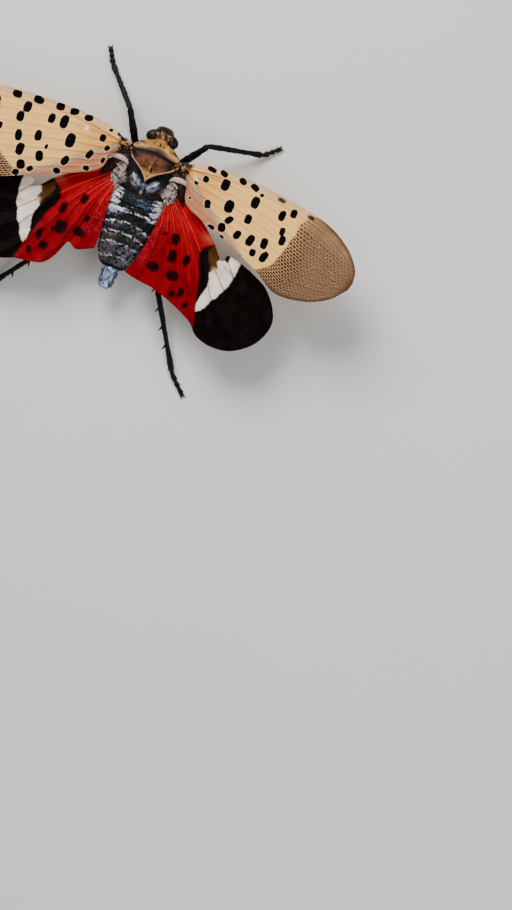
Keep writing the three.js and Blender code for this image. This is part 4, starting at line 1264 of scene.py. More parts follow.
def head_shape():
    """Rings from HEAD. The brow knobs rise 0.16, the crown sinks 0.13 in two pits beside a keel, and ripples
    roughen it."""
    y, angle, points = body_grid(HEAD, 150, 190, 2.6)
    x, back = points[..., 0], back_share(angle)
    wide = np.abs(x)
    knobs = np.maximum.reduce([mound(x, y, (a, b), (size * 0.8, size * 0.8)) for a, b, size in BROW_KNOBS])
    pits = mound(wide, y, (0.42, 3.35), (0.22, 0.36), -0.2)
    keel = bell(x, 0.09) * ease(y, 2.7, 3.2) * (1 - ease(y, 3.8, 4.1))
    lift = 0.16 * knobs - 0.13 * pits + 0.06 * keel + 0.08 * bell(wide - 0.82, 0.08) * ease(y, 2.8, 3.2)
    lift += 0.045 * ripples(points, 0.3, seed=41) + 0.014 * ripples(points, 0.1, seed=42)
    points = lifted(points, lift * back)
    points[..., 0] *= 1 + 0.05 * knobs
    x = points[..., 0]
    tan = np.maximum.reduce([mound(x, y, (a, b), (c, d)) for a, b, c, d in TAN_SPOTS])
    brow = ease(y + 0.3 * np.abs(x), 3.66, 3.98)
    face, face_brow = face_shape()
    marks = {
        "brow": np.concatenate([brow.ravel(), [0, 1], face_brow]),
        "tan": tan * back,
        "knob": knobs * back,
        "keel": keel * back,
        "pit": pits * back,
        "nape": np.append(ease(-y, -3.15, -2.75).ravel(), [1, 0]),
    }
    return merge(tube(points, marks), face)


print(len(BROW_KNOBS), "knobs on the brow")

# %% Head finish
def head_finish():
    f = Finish("mottled_head", 0.5, 0.2)
    blobs, grain, patches = f.noise(0.2, 3, 0.6), f.noise(0.09, 3), f.noise(0.4, 2, 0.5, 0.4)
    tan = f.mix((156, 104, 66), (222, 174, 126), grain, 0.35, 0.65)
    colour = f.coats(
        f.mix((34, 16, 10), (112, 66, 38), blobs, 0.4, 0.62),
        ((66, 34, 18), patches, 0.5, 0.62, 0.6),
        (tan, f.mark("tan") * blobs.spread(0.1, 1.9), 0.25, 0.8),
        ((20, 8, 6), f.mark("pit") * 0.7),
        ((160, 98, 48), f.mark("keel") * 0.5),
        ((150, 98, 48), f.mark("nape") * 0.8),
        (f.mix((4, 3, 2), (34, 23, 14), blobs, 0.42, 0.66), "brow"),
        ((84, 66, 46), f.mark("knob") * blobs.spread(0.3, 1.5), 0.4, 0.8, 0.8),
    )
    return f.done(colour, blobs + grain, 0.045, grain.spread(0.4, 0.65))


make_piece("head_skin", head_shape(), head_finish(), "head_cuticle", "head")

# %% [markdown]
# ## Eyes
# Each compound eye is a bulging oval, almost black from above, with a brown ring where it meets the head.
# Thousands of lens facets cover it. They are 0.035 mm across, so their relief belongs to the finish, as a
# fine cell pattern, while the oval itself is a grid.

# %% Eyes
EYE_PLACE = (1.0, 3.12, 4.62)
EYE_BULGE = 0.86
EYE_RADIUS = 0.72
EYE_HEIGHT = 0.6
EYE_TURN = 0.1
FACET = 0.035


def eye_shape(side):
    """Polar grid from the outer pole to a little past the equator: bulge cos a outward, radius sin a sin b
    forward and height sin a cos b up, turned inward at the front. A brim stands round the flat side."""
    a, b = grid(np.linspace(0.03, 1.9, 70), once_round(90))
    brim = 1 + 0.07 * bell(a - 1.5, 0.1)
    out = EYE_BULGE * np.cos(a)
    ahead = EYE_RADIUS * np.sin(a) * np.sin(b) * brim
    up = EYE_HEIGHT * np.sin(a) * np.cos(b) * brim
    turned = out * math.cos(EYE_TURN) - ahead * math.sin(EYE_TURN)
    forward = ahead * math.cos(EYE_TURN) - out * math.sin(EYE_TURN)
    points = (np.stack([turned, forward, up], -1) + EYE_PLACE) * (SIDES[side], 1, 1)
    return tube(points, {"ring": bell(a - 1.5, 0.14)})


def eye_finish():
    f = Finish("faceted_eye", 0.35, 0.15)
    f.set("Coat Weight", 0.05)
    f.set("Coat Roughness", 0.3)
    facets = f.cells(FACET)
    colour = f.coats(
        f.mix((4, 2, 2), (34, 26, 24), f.noise(0.5, 2, 0.5, 0.8), 0.46, 0.62),
        ((3, 2, 2), facets, 0.2, 0.7, 0.5),
        ((58, 34, 20), f.mark("ring") * 0.8),
    )
    return f.done(colour, facets, -0.006)


make_pair("eye_*_facets", eye_shape, eye_finish(), "eye", "eye_*")

# %% [markdown]
# ## Feelers and beak
# Below each eye sits a swollen orange-red feeler covered with tiny pits, ending in a black bristle. The beak
# is a jointed black tube laid back under the breast. Both are profiles carried along a path: at each step
# a ring stands across the path, turned so that its top stays up.

# %% Profile along a path
def carried(path, radii, sides=24, flat=1.0):
    """Rings across a path: point + radius (cos a across + flat sin a over), where across is the path's
    direction crossed with z, and over stands on both."""
    ways = unit(np.gradient(path, axis=0))
    across = unit(np.cross(ways, (0, 0, 1)))
    over = np.cross(across, ways)
    turn = once_round(sides)[:, None]
    radii = radii[:, None, None] if radii.ndim == 1 else radii[..., None]
    return path[:, None] + radii * (across[:, None] * np.cos(turn) + flat * over[:, None] * np.sin(turn))


def dark_finish(name, dark, light, size, roughness=0.4):
    """Two near tones of one cuticle, broken by grain."""
    f = Finish(name, roughness, 0.2)
    grain = f.noise(size, 4, 0.6)
    colour = f.mix(dark, light, grain, 0.4, 0.68)
    return f.done(colour, grain, 0.02, grain.spread(roughness - 0.1, roughness + 0.15))


print("profiles ready")

# %% Feelers
FEELER_ROOT = (0.95, 3.2, 3.72)
FEELER_WAY = (0.3, 0.12, -0.95)
FEELER_LENGTH = 0.95
BRISTLE_LENGTH = 1.2


def feeler_line(side):
    """The feeler's root and the direction it hangs in."""
    hand = (SIDES[side], 1, 1)
    return np.multiply(FEELER_ROOT, hand), unit(np.multiply(FEELER_WAY, hand))


def feeler_bulb(side):
    """Radius 0.3 sin(pi f^0.8)^0.6, with a ring at f = 0.2 and fine dents round it."""
    root, way = feeler_line(side)
    f = np.linspace(0.02, 0.99, 50)[:, None]
    bulb = 0.3 * np.sin(np.pi * f**0.8) ** 0.6 * (1 + 0.18 * bell(f - 0.2, 0.08))
    bulb = bulb * (1 + 0.03 * np.sin(9 * once_round(40) + 14 * f) * np.sin(30 * f))
    return tube(carried(root + way * FEELER_LENGTH * f, bulb, 40))


def feeler_bristle(side):
    """A thread that starts in the bulb's end, thins to 0.0075 and bends a little."""
    root, way = feeler_line(side)
    f = np.linspace(0, 1, 40)
    bend = np.stack([SIDES[side] * 0.05 * f**2, 0.12 * f**2, 0.1 * f**2], -1)
    path = root + way * (FEELER_LENGTH * 0.95 + BRISTLE_LENGTH * f[:, None]) + bend
    return tube(carried(path, 0.05 * (1 - 0.85 * f) + 0.05 * bell(f - 0.05, 0.04), 12))


def feeler_finish():
    f = Finish("orange_feeler", 0.45)
    pits = f.cells(0.09)
    orange = f.mix((214, 92, 34), (178, 54, 22), f.noise(0.3), 0.4, 0.65)
    return f.done(f.mix(orange, (236, 196, 150), pits, 0.3, 0.12), pits, 0.02)


bulb_look = feeler_finish()
bristle_look = dark_finish("black_bristle", (16, 12, 12), (40, 30, 28), 0.2)
for side in SIDES:
    solid = f"antenna_{side}"
    make_piece(f"feeler_{side}_bulb", feeler_bulb(side), bulb_look, "orange_cuticle", solid)
    make_piece(f"feeler_{side}_bristle", feeler_bristle(side), bristle_look, "black_cuticle", solid)

# %% Beak
BEAK = [
    (3.0, 2.3, 0.3), (2.75, 2.05, 0.3), (2.2, 2.0, 0.27),
    (-0.5, 2.0, 0.25), (-2.8, 1.98, 0.22), (-3.9, 1.95, 0.1),
]


def beak_shape():
    """Through the points of BEAK (forward, up, radius), with two joints and a groove along its underside."""
    f = np.linspace(0, 1, 120)
    line = smooth_line(BEAK, f)
    joints = bell(f - 0.42, 0.012) + bell(f - 0.7, 0.012)
    groove = 1 - 0.22 * bell(np.sin((once_round(40) + np.pi / 2) / 2), 0.12)
    radii = (line[:, 2] * (1 - 0.25 * joints))[:, None] * groove
    return tube(carried(np.stack([f * 0, line[:, 0], line[:, 1]], -1), radii, 40))


beak_look = dark_finish("black_beak", (17, 14, 15), (58, 42, 34), 0.35)
make_piece("beak_tube", beak_shape(), beak_look, "black_cuticle", "beak")

# %% [markdown]
# ## Abdomen
# The abdomen is a row of blue-black plates. Each plate's rear margin carries a pale band of wax, and bends
# back toward the sides, so the bands look like shallow chevrons. White wax covers the front sides. One
# number per point, the place along the body corrected for that bend, drives the steps and the bands.

# %% Abdomen marks
BROWN_PATCHES = [
    ((-1.3, -8.55), (0.9, 0.5)), ((-1.1, -9.85), (0.8, 0.5)),
    ((2.0, -8.5), (0.5, 0.4)), ((-1.2, -11.0), (0.5, 0.3)),
]
# Each pale band: its front edge, its depth, its strength at five places from left to right, its brownness
WAX_BANDS = [
    (-5.6, 0.3, [1.15, 1.0, 0.15, 0.95, 1.05], 0.0), (-6.88, 0.24, [0.6, 0.78, 0.45, 0.42, 0.85], 0.4),
    (-8.0, 0.24, [0.36, 0.52, 0.62, 0.62, 0.42], 0.65), (-9.2, 0.28, [0.42, 0.5, 0.6, 0.45, 0.45], 0.95),
    (-10.6, 0.28, [0.44, 0.48, 0.32, 0.52, 0.44], 0.9),
]


def along_plates(x, y):
    """y, moved forward by up to 0.42 (|x| / 2.3)^1.5, so that a plate's bent rear margin has one value."""
    return y + 0.42 * (np.abs(x) / 2.3) ** 1.5 * ease(-y, 5.2, 7.2)


def wax_bands(x, q, points):
    """Each band's strength times exp(-((q - place) / depth)^2), crisp in front. The first is deeper on the
    left. Returns the pale bands and how brown they are."""
    pale, tan = np.zeros_like(q), np.zeros_like(q)
    patches = ripples(points, 0.5, seed=52)
    for place, depth, strengths, brown in WAX_BANDS:
        first = place == WAX_BANDS[0][0]
        patchy = 1 + (0.4 if first else 0.5) * patches
        strength = np.interp(x, [-2.2, -1.2, 0.1, 1.2, 2.2], strengths) * patchy
        depth = depth * (1 + first * (0.8 * ease(-x, 0.4, 1.6) - 0.3 * ease(x, 0.2, 0.8)))
        band = strength * bell(q - place, np.where(q > place, 0.09, depth))
        pale = np.maximum(pale, band)
        tan = np.maximum(tan, band * brown * (0.35 + 0.65 * ease(np.abs(x), 0.2, 1.5)))
    return pale, tan


def abdomen_marks(x, y, points):
    """Band strengths, wax on the front sides with its dark seams, a painted bluish-grey sheen on the front
    plates, and grey and brown mottling behind.
    """
    wide = np.abs(x)
    q = along_plates(x, y) + 0.06 * ripples(points, 0.9, seed=51)
    pale, tan = wax_bands(x, q, points)
    sides = ease(wide + 0.2 * ripples(points, 0.4, seed=53), 1.45, 2.2) * ease(y, -5.6, -5.0)
    bows = ((-3.72, 0.1), (-4.22, -0.5), (-4.85, -0.75))
    seams = [bell(y - place + bow * (wide - 1.6) * 0.45, 0.09) for place, bow in bows]
    seams = np.maximum.reduce(seams) * (1 - 0.6 * ease(wide, 2.1, 2.6))
    triangles = sum(mound(x, q, (0.05, place), (0.24, 0.28)) for place in (-9.62, -10.98, -8.5))
    dusty = sum(mound(x, q, (side, place), (1.2, 0.26)) for side in (-1.3, 1.2) for place in (-7.35, -8.55))
    mottle = ease(-y, 8.9, 9.8) * (0.45 + 0.55 * ease(x, -0.4, 0.4))
    return {
        "wax": np.clip(np.maximum(pale, sides * (1 - 0.9 * seams)), 0, 1.2),
        "tan": np.clip(tan, 0, 1),
        # blue: a painted bluish-grey sheen on the front plates
        "blue": mound(x, y, (0.9, -4.55), (0.9, 0.35)) + 0.9 * mound(x, y, (0.5, -3.98), (1.1, 0.2)),
        "bluish": ease(-q, 5.72, 6.0) * (1 - ease(-q, 6.3, 6.7)),
        "mottle": np.clip(np.maximum(mottle, 0.4 * dusty), 0, 1),
        "brown": np.clip(mounds(x, y, BROWN_PATCHES), 0, 1),
        "dark": np.clip(triangles + ease(-y, 11.55, 11.75) * (1 - ease(-y, 11.85, 12.0)), 0, 1),
        "seam": ease(wide, 1.95, 2.12) * ease(-y, 10.3, 10.7) * (x < 0),
    }


print(len(WAX_BANDS), "bands of wax")

# %% Abdomen shape
ABDOMEN = [
    (-3.3, 2.5, 5.0, 3.0), (-3.7, 2.78, 5.2, 2.75), (-4.4, 2.92, 5.42, 2.5), (-5.7, 2.88, 5.42, 2.4),
    (-7.0, 2.74, 5.32, 2.4), (-8.2, 2.58, 5.2, 2.4), (-9.4, 2.42, 4.98, 2.42), (-10.4, 2.2, 4.72, 2.5),
    (-11.2, 1.84, 4.4, 2.7), (-11.7, 1.45, 4.1, 2.85), (-12.02, 1.02, 3.8, 3.05),
]
PLATE_ENDS = [-3.9, -4.95, -6.0, -7.12, -8.25, -9.4, -10.65, -11.75]
PLATE_STEP = 0.13


def abdomen_shape():
    """Rings from ABDOMEN. Plate k covers its share s from margin to margin and stands out further along it,
    up to PLATE_STEP at the margin, where it drops to the next; a midline furrow and ripples finish it."""
    y, angle, points = body_grid(ABDOMEN, 340, 190, 2.25)
    x, back = points[..., 0], back_share(angle)
    q = along_plates(x, y)
    ends = -np.array([-3.0, *PLATE_ENDS, -13.0])
    k = np.clip(np.searchsorted(ends, -q) - 1, 0, len(ends) - 2)
    share = (-q - ends[k]) / (ends[k + 1] - ends[k])
    stand = PLATE_STEP * (ease(share, 0.0, 0.12) * 0.25 + 0.75 * ease(share, 0.05, 0.9))
    stand *= 1 - ease(share, 0.94, 1.0)
    marks = abdomen_marks(x, y, points)
    middle = np.stack([x * 0, y, points[..., 2].mean(1, keepdims=True) + y * 0], -1)
    relief = stand * (0.35 + 0.65 * back) + 0.05 * np.clip(marks["wax"], 0, 1) * back
    relief += 0.03 * ripples(points, 0.7, seed=54) + 0.02 * ripples(points, 0.2, seed=55)
    relief -= 0.05 * bell(x, 0.1) * back * ease(-y, 5.5, 7.0)
    points = points + unit(points - middle) * relief[..., None]
    on_back = ease(np.cos(angle), -0.5, 0.0)
    return tube(points, {mark: values * on_back for mark, values in marks.items()})


print(len(PLATE_ENDS), "plates")

# %% Abdomen finish
def abdomen_finish():
    f, grain, blobs = cuticle("banded_abdomen", 0.5, 0.15, 0.14, 0.38)
    streaks = f.noise(1.0, 3, 0.6, vector=f.stretched(1500, 6000, 1500))
    dark = f.mark("dark")
    black = f.coats(
        f.mix((1, 1, 2), (16, 17, 24), blobs, 0.42, 0.72),
        ((74, 54, 36), f.mark("brown") * streaks.step(0.34, 0.6)),
        # painted sheen, bluish-grey, on the front plates
        (f.mix((20, 30, 44), (92, 112, 134), streaks, 0.4, 0.6), f.mark("blue") * blobs.step(0.35, 0.6)),
        (f.mix((22, 21, 28), (126, 124, 138), grain, 0.42, 0.6), f.mark("mottle") * blobs.step(0.4, 0.56)),
        ((3, 2, 3), dark),
    )
    wax = f.coats(
        f.mix((150, 162, 186), (255, 250, 248), streaks, 0.38, 0.62),
        ((106, 128, 158), f.mark("bluish") * 0.75),
        (f.mix((110, 82, 68), (190, 158, 142), grain, 0.4, 0.6), "tan"),
    )
    edge = (f.mark("wax") + (grain * 0.7 + streaks * 1.3 - 1.0)) * dark.spread(1.0, 0.3)
    colour = f.coats(
        black,
        (f.mix((50, 50, 60), wax, grain, 0.42, 0.66), edge, 0.2, 0.5),
        (wax, edge, 0.55, 0.9),
        (f.mix((166, 96, 26), (206, 146, 60), grain), "seam"),
    )
    return f.done(colour, grain + streaks * 0.8 + blobs * 0.8, 0.045, grain.spread(0.4, 0.75))


make_piece("abdomen_skin", abdomen_shape(), abdomen_finish(), "abdomen_cuticle", "abdomen")

# %% [markdown]
# ## Tail segment
# Behind the last plate a small blunt segment sticks out, thick with blue-white waxy fluff. Its rings are
# rough, and short threads of wax stand on it, leaning backward.

# %% Tail shape
TAIL = [
    (-11.6, 0.5, 3.8, 3.0), (-12.0, 0.72, 3.9, 2.85), (-12.5, 0.86, 4.02, 2.8), (-13.1, 0.8, 4.0, 2.85),
    (-13.7, 0.78, 3.9, 2.95), (-14.1, 0.62, 3.75, 3.08), (-14.35, 0.34, 3.6, 3.2),
]


def fluff(points, count, length, thickness, seed, back=(0, -0.8, 0.3)):
    """Threads at random points of a grid, each pointing away from the grid's middle and leaning back."""
    rng = np.random.default_rng(seed)
    points = points.reshape(-1, 3)
    roots = points[rng.integers(0, len(points), count)]
    ways = unit(unit(roots - points.mean(0)) + rng.normal(0, 0.35, (count, 3)) + back)
    return hairs(roots, ways, length * rng.uniform(0.4, 1.0, count), thickness)


def tail_shape():
    """Rings from TAIL, pushed in and out by ripples, with threads from the twentieth ring on."""
    _, angle, points = body_grid(TAIL, 110, 110, 2.2, crowd=0.2)
    push = 0.06 * ripples(points, 0.5, seed=61) + 0.035 * ripples(points, 0.16, seed=62)
    points = lifted(points, push * np.sign(np.cos(angle)) * 0.6)
    points[..., 0] *= 1 + push
    return merge(tube(points), fluff(points[20:], 420, 0.34, 0.016, seed=63))


def tail_finish():
    """Light lengthwise streaks, with painted shade darkening both sides."""
    f = Finish("blue_white_wax", 0.8, 0.1)
    across = f.node("Math", {0: f.node("SeparateXYZ", {0: f.place()}, "X")}, operation="ABSOLUTE")
    streaks = f.noise(1.0, 4, 0.65, vector=f.stretched(4500, 1300, 4500))
    # dark: painted shade, darkening the tail's sides away from the middle line
    dark = (across + streaks * (-0.5 * MM)).step(0.15 * MM, 0.5 * MM)
    colour = f.coats(
        f.mix((34, 40, 58), (150, 164, 194), streaks, 0.36, 0.56),
        # the real white wax streaks, kept to the middle line as a painted highlight on the lit top
        ((236, 240, 250), streaks.step(0.54, 0.62) * across.step(0.6 * MM, 0.3 * MM)),
        # painted shade on both sides
        ((22, 26, 38), dark * 0.8),
    )
    return f.done(colour, streaks + f.noise(0.1, 4, 0.7), 0.05)


make_piece("tail_fluff", tail_shape(), tail_finish(), "abdomen_cuticle", "tail_segment")

# %% [markdown]
# ## Wing roots
# Between body and wings lie small hard pieces. A mottled yellow and black scale covers each forewing hinge.
# Behind it arches a pale ribbed crescent, then a dark brown knuckle carries the hindwing, with a pad of
# grey wax beside it. Most are rounded lumps: ellipsoids whose radius is roughened by ripples.

# %% Lumps
def lump(centre, halves, turn=0.0, rough=0.04, size=0.4, seed=1, steps=60):
    """Ellipsoid with its poles outward: (a cos u, b sin u sin v, c sin u cos v), each half size scaled by
    1 + rough ripples, then turned by turn round the upright axis."""
    u, v = grid(np.linspace(0.04, np.pi - 0.04, steps), once_round(steps))
    a, b, c = halves
    points = np.stack([a * np.cos(u), b * np.sin(u) * np.sin(v), c * np.sin(u) * np.cos(v)], -1)
    points *= 1 + rough * ripples(points + seed, size, seed=seed)[..., None]
    x = points[..., 0] * math.cos(turn) - points[..., 1] * math.sin(turn)
    y = points[..., 0] * math.sin(turn) + points[..., 1] * math.cos(turn)
    return np.stack([x, y, points[..., 2]], -1) + centre


def lumps(rows, side):
    """One side's lumps. On the left each centre and turn is mirrored. A row holds a lump's centre, half
    sizes and turn, its unevenness and the size of that, its seed and its steps."""
    hand = SIDES[side]
    return [
        lump(np.multiply(centre, (hand, 1, 1)), halves, hand * turn, *rest)
        for centre, halves, turn, *rest in rows
    ]


print("lumps ready")

# %% Hinge scales
HINGE_SCALE = [
    ((3.3, 0.92, 6.2), (0.72, 0.46, 0.5), -0.25, 0.07, 0.4, 71, 60),
    ((2.75, 0.72, 6.15), (0.36, 0.42, 0.42), 0, 0.08, 0.3, 72, 40),
    ((3.78, 0.5, 5.98), (0.42, 0.36, 0.4), 0.4, 0.08, 0.3, 73, 40),
    ((3.55, 1.32, 5.95), (0.5, 0.26, 0.36), 0.1, 0.06, 0.3, 74, 40),
]
# Dark lumps under the forewing hinge: painted shadow, filling the shaded gap between the forewing's rear
# margin and the crescent, shaped as the dark membrane at the wing's root
HINGE_SHADOW_MEMBRANE = [
    ((3.45, -0.12, 5.2), (1.2, 0.82, 0.38), -0.15, 0.14, 0.35, 84, 60),
    ((3.3, 0.2, 5.5), (0.7, 0.14, 0.16), -0.25, 0.1, 0.3, 85, 40),
]


def hinge_scale_finish():
    f = Finish("mottled_hinge_scale", 0.5, 0.15)
    blobs, grain = f.noise(0.36, 3, 0.55, 0.5), f.noise(0.12, 3)
    yellow = f.mix((112, 74, 40), (180, 136, 88), grain)
    colour = f.coats((18, 11, 9), (yellow, blobs, 0.5, 0.58), ((196, 176, 156), f.noise(0.5, 2), 0.66, 0.72))
    return f.done(colour, grain + blobs, 0.03)


scale_look = hinge_scale_finish()
hinge_shadow_look = dark_finish("dark_hinge_membrane", (16, 12, 14), (92, 78, 76), 0.3, 0.5)
for side in SIDES:
    scale = merge(*map(tube, lumps(HINGE_SCALE, side)))
    membrane = merge(*map(tube, lumps(HINGE_SHADOW_MEMBRANE, side)))
    make_piece(f"hinge_scale_{side}", scale, scale_look, "tan_cuticle", f"tegula_{side}")
    # the dark lumps stand for painted shadow in the gap at the wing's root
    make_piece(f"hinge_shadow_membrane_{side}", membrane, hinge_shadow_look, "thorax_cuticle", "thorax")

# %% Pale crescents
def crescent_shape(side):
    """Rings along an arc a from the body outward, with r = 0.3 sqrt(sin a) cos b across: x = 3.58 -
    (1.12 + 0.6 r) cos a, y = -1.02 + (0.55 + r) sin a. Fine ribs, cos 13 b, run along it."""
    a, b = grid(np.linspace(0.06, np.pi - 0.06, 90), once_round(80))
    ribs = 1 + 0.06 * np.cos(13 * b) + 0.03 * ripples(np.stack([a, b * 0.3, a], -1), 0.7, seed=75)
    radial = 0.3 * np.sin(a) ** 0.5 * np.cos(b) * ribs
    x = 3.58 - (1.12 + radial * 0.6) * np.cos(a)
    y = -1.02 + (0.55 + radial) * np.sin(a)
    z = 5.28 + 0.34 * np.sin(a) ** 0.7 * np.sin(b) * ribs + 0.16 * np.sin(a)
    return tube(np.stack([SIDES[side] * x, y, z], -1), {"rib": 0.5 + 0.5 * np.cos(13 * b)})


def crescent_finish():
    f = Finish("pale_crescent", 0.6, 0.12)
    grain = f.noise(0.14, 4)
    pale = f.mix((206, 172, 158), (252, 226, 212), grain, 0.4, 0.65)
    return f.done(f.mix(pale, (120, 88, 78), "rib", 0.4, 0.0, 0.6), grain, 0.02)


make_pair("crescent_*", crescent_shape, crescent_finish(), "thorax_cuticle", "hindwing_*")

# %% Hindwing knuckles
KNUCKLE = [(3.1, -1.2, 5.0), (3.9, -1.2, 5.05), (4.3, -1.65, 5.0), (4.55, -2.3, 4.9), (4.85, -3.0, 4.84)]
KNUCKLE_RADII = [(0, 0.2), (0.15, 0.42), (0.42, 0.6), (0.72, 0.45), (1, 0.12)]


def knuckle_shape(side):
    """A flat tube through the points of KNUCKLE, roughened by ripples."""
    f = np.linspace(0, 1, 80)
    path = smooth_line(KNUCKLE, f) * (SIDES[side], 1, 1)
    rings = carried(path, profile(KNUCKLE_RADII, f)[0], 48, flat=0.62)
    return tube(rings + 0.03 * ripples(rings, 0.4, seed=76)[..., None])


def knuckle_finish():
    f = Finish("brown_knuckle", 0.5, 0.12)
    streaks = f.noise(0.9, 3, 0.6, vector=f.stretched(5200, 1300, 2500))
    return f.done(f.mix((9, 3, 3), (58, 28, 20), streaks, 0.4, 0.7), f.noise(0.2, 4) + streaks, 0.03)


make_pair("wing_knuckle_*", knuckle_shape, knuckle_finish(), "hindwing_membrane", "hindwing_*")

# %% Wax pads
WAX_PAD = [
    ((2.95, -2.3, 4.98), (0.78, 1.12, 0.52), 0.18, 0.13, 0.42, 77, 90),
    ((3.05, -1.25, 5.08), (0.7, 0.3, 0.3), -0.1, 0.12, 0.3, 78, 50),
]


def wax_pad(side):
    """Two lumps, with threads of wax on the larger one's upper side."""
    pad, front = lumps(WAX_PAD, side)
    threads = fluff(pad[20:70, :45], 260, 0.24, 0.014, seed=79, back=(0, -0.5, 0.6))
    return merge(tube(pad), tube(front), threads)


def wax_pad_finish():
    f = Finish("grey_wax_pad", 0.8, 0.1)
    grain, patches = f.noise(0.1, 4, 0.7), f.noise(0.4, 3, 0.6)
    grey = f.mix((52, 44, 46), (196, 176, 166), patches * 0.6 + grain * 0.4, 0.42, 0.58)
    return f.done(f.mix(grey, (13, 11, 11), patches, 0.6, 0.7, 0.9), grain, 0.05)


make_pair("wax_pad_*", wax_pad, wax_pad_finish(), "thorax_cuticle", "hindwing_*")

# %% [markdown]
# ## Legs
# Thigh, shin and foot are one path from hip to toe with rounded knees, and the profile along it swells and
# narrows as the real joints do. The section is a rounded box, since the real limbs are edged. The hind
# shins carry strong spines, every limb is finely bristled, and each foot ends in two claws.

# %% Leg paths
# Each leg: -1 for left or 1 for right, then hip, knee, ankle and toe
LEGS = {
    "front_left": (-1, (2.0, 0.5, 1.95), (4.6, 4.95, 4.0), (8.4, 9.0, 0.45), (9.3, 10.55, 0.2)),
    "front_right": (1, (2.0, 0.5, 1.95), (4.9, 4.25, 4.0), (10.75, 5.85, 0.45), (12.2, 7.2, 0.2)),
    "middle_left": (-1, (1.9, -0.95, 1.95), (4.6, -3.4, 3.35), (8.6, -8.3, 0.45), (9.8, -9.8, 0.2)),
    "middle_right": (1, (1.9, -0.95, 1.95), (4.6, -3.4, 3.35), (8.5, -8.4, 0.45), (9.6, -10.0, 0.2)),
    "hind_left": (-1, (1.5, -2.75, 1.9), (4.65, -8.8, 2.9), (12.1, -18.9, 0.45), (14.6, -20.6, 0.2)),
    "hind_right": (1, (1.5, -2.75, 1.9), (4.0, -9.8, 2.9), (10.4, -20.2, 0.45), (12.3, -22.0, 0.2)),
}
# Share along the leg (knee at 1, ankle at 2, toe at 3), half width across, half depth
LEG_PROFILE = [
    (0.0, 0.3, 0.3), (0.2, 0.37, 0.34), (0.55, 0.42, 0.38), (0.85, 0.33, 0.33), (0.95, 0.34, 0.34),
    (1.0, 0.27, 0.29), (1.04, 0.31, 0.3), (1.12, 0.3, 0.28), (1.4, 0.3, 0.28), (1.8, 0.27, 0.25),
    (1.95, 0.32, 0.29), (2.0, 0.2, 0.2), (2.06, 0.22, 0.22), (2.3, 0.27, 0.26), (2.35, 0.17, 0.19),
    (2.42, 0.23, 0.22), (2.6, 0.26, 0.24), (2.66, 0.17, 0.18), (2.74, 0.22, 0.2), (2.94, 0.25, 0.2),
    (3.0, 0.12, 0.12),
]
LEG_STEPS = 260
LEG_SIDES = 28
CORNER = 0.35


def leg_line(hip, knee, ankle, toe):
    """Straight stretches whose corners are rounded: each corner p becomes the curve (1-f)^2 a + 2f(1-f) p +
    f^2 b between points CORNER before and after it. Even steps along it, and the share at each."""
    stops, shares = [hip], [0.0]
    for k, (before, corner, after) in enumerate(((hip, knee, ankle), (knee, ankle, toe))):
        back, on = before - corner, after - corner
        near, far = CORNER / np.linalg.norm(back), CORNER / np.linalg.norm(on)
        f = np.linspace(0, 1, 9)[:, None]
        bend = (1 - f) ** 2 * (corner + back * near) + 2 * f * (1 - f) * corner + f**2 * (corner + on * far)
        stops.extend(bend)
        shares.extend(k + 1 + np.linspace(-near, far, 9))
    stops, shares = np.array([*stops, toe]), np.array([*shares, 3.0])
    run = np.append(0, np.cumsum(np.linalg.norm(np.diff(stops, axis=0), axis=1)))
    at = np.linspace(0, run[-1], LEG_STEPS)
    line = np.stack([np.interp(at, run, stops[:, axis]) for axis in range(3)], -1)
    return line, np.interp(at, run, shares)


def limb_rings(line, share):
    """Radii from LEG_PROFILE times the section (|cos|^2.6 + |sin|^2.6)^(-1/2.6), across the line and kept
    over the floor. Returns the line's directions too."""
    across, deep = profile(LEG_PROFILE, share)
    turn = once_round(LEG_SIDES) + 0.3
    box = (np.abs(np.cos(turn)) ** 2.6 + np.abs(np.sin(turn)) ** 2.6) ** (-1 / 2.6)
    ways = unit(np.gradient(line, axis=0))
    sideways = unit(np.cross(ways, (0, 0, 1)))
    over = np.cross(sideways, ways)
    ring = (across[:, None] * np.cos(turn) * box)[..., None] * sideways[:, None]
    ring = ring + (deep[:, None] * np.sin(turn) * box)[..., None] * over[:, None]
    rings = line[:, None] + ring
    rings += 0.02 * ripples(rings, 0.5, seed=81)[..., None] * ring / 0.3
    rings[..., 2] = np.maximum(rings[..., 2], 0.01)
    return rings, ways


print(len(LEGS), "legs")

# %% Hips and bristles
HIP_RADII = [(0, 0.42), (0.3, 0.55), (0.7, 0.5), (1, 0.3)]
BRISTLES = 330


def hip_shape(hip, hand):
    """Level circles from inside the body down to the hip, with radii from HIP_RADII."""
    line = hip + np.linspace((0, 0, 1.15), (hand * 0.05, 0.001, -0.12), 24)
    turn = once_round(32)
    circle = np.stack([np.cos(turn), np.sin(turn), turn * 0], -1)
    return tube(line[:, None] + profile(HIP_RADII, np.linspace(0, 1, 24))[0][:, None, None] * circle)


def leg_bristles(rings, line, ways, seed):
    """Short hairs at random points past the hip, leaning toward the foot. None stands near the floor."""
    rng = np.random.default_rng(seed)
    step = rng.integers(int(LEG_STEPS * 0.08), LEG_STEPS, BRISTLES)
    roots = rings[step, rng.integers(0, LEG_SIDES, BRISTLES)]
    leans = unit(unit(roots - line[step]) + ways[step] * 0.9)
    keep = roots[:, 2] > 0.2
    return hairs(roots[keep], leans[keep], rng.uniform(0.1, 0.24, BRISTLES)[keep], 0.012, 0.0)


print(len(LEGS) * BRISTLES, "bristles at most")

# %% Spines and claws
def thorn(root, tip, radius, bow=0.0, sides=12):
    """A cone from root to tip, radius (1 - f)^0.8, whose middle line sags by bow f (1 - f) 4."""
    f = np.linspace(0, 0.99, 16)
    path = root + (tip - root) * f[:, None] - np.array([0, 0, 1]) * (bow * 4 * f * (1 - f))[:, None]
    return tube(carried(path, radius * (1 - f) ** 0.8 + 0.006, sides))


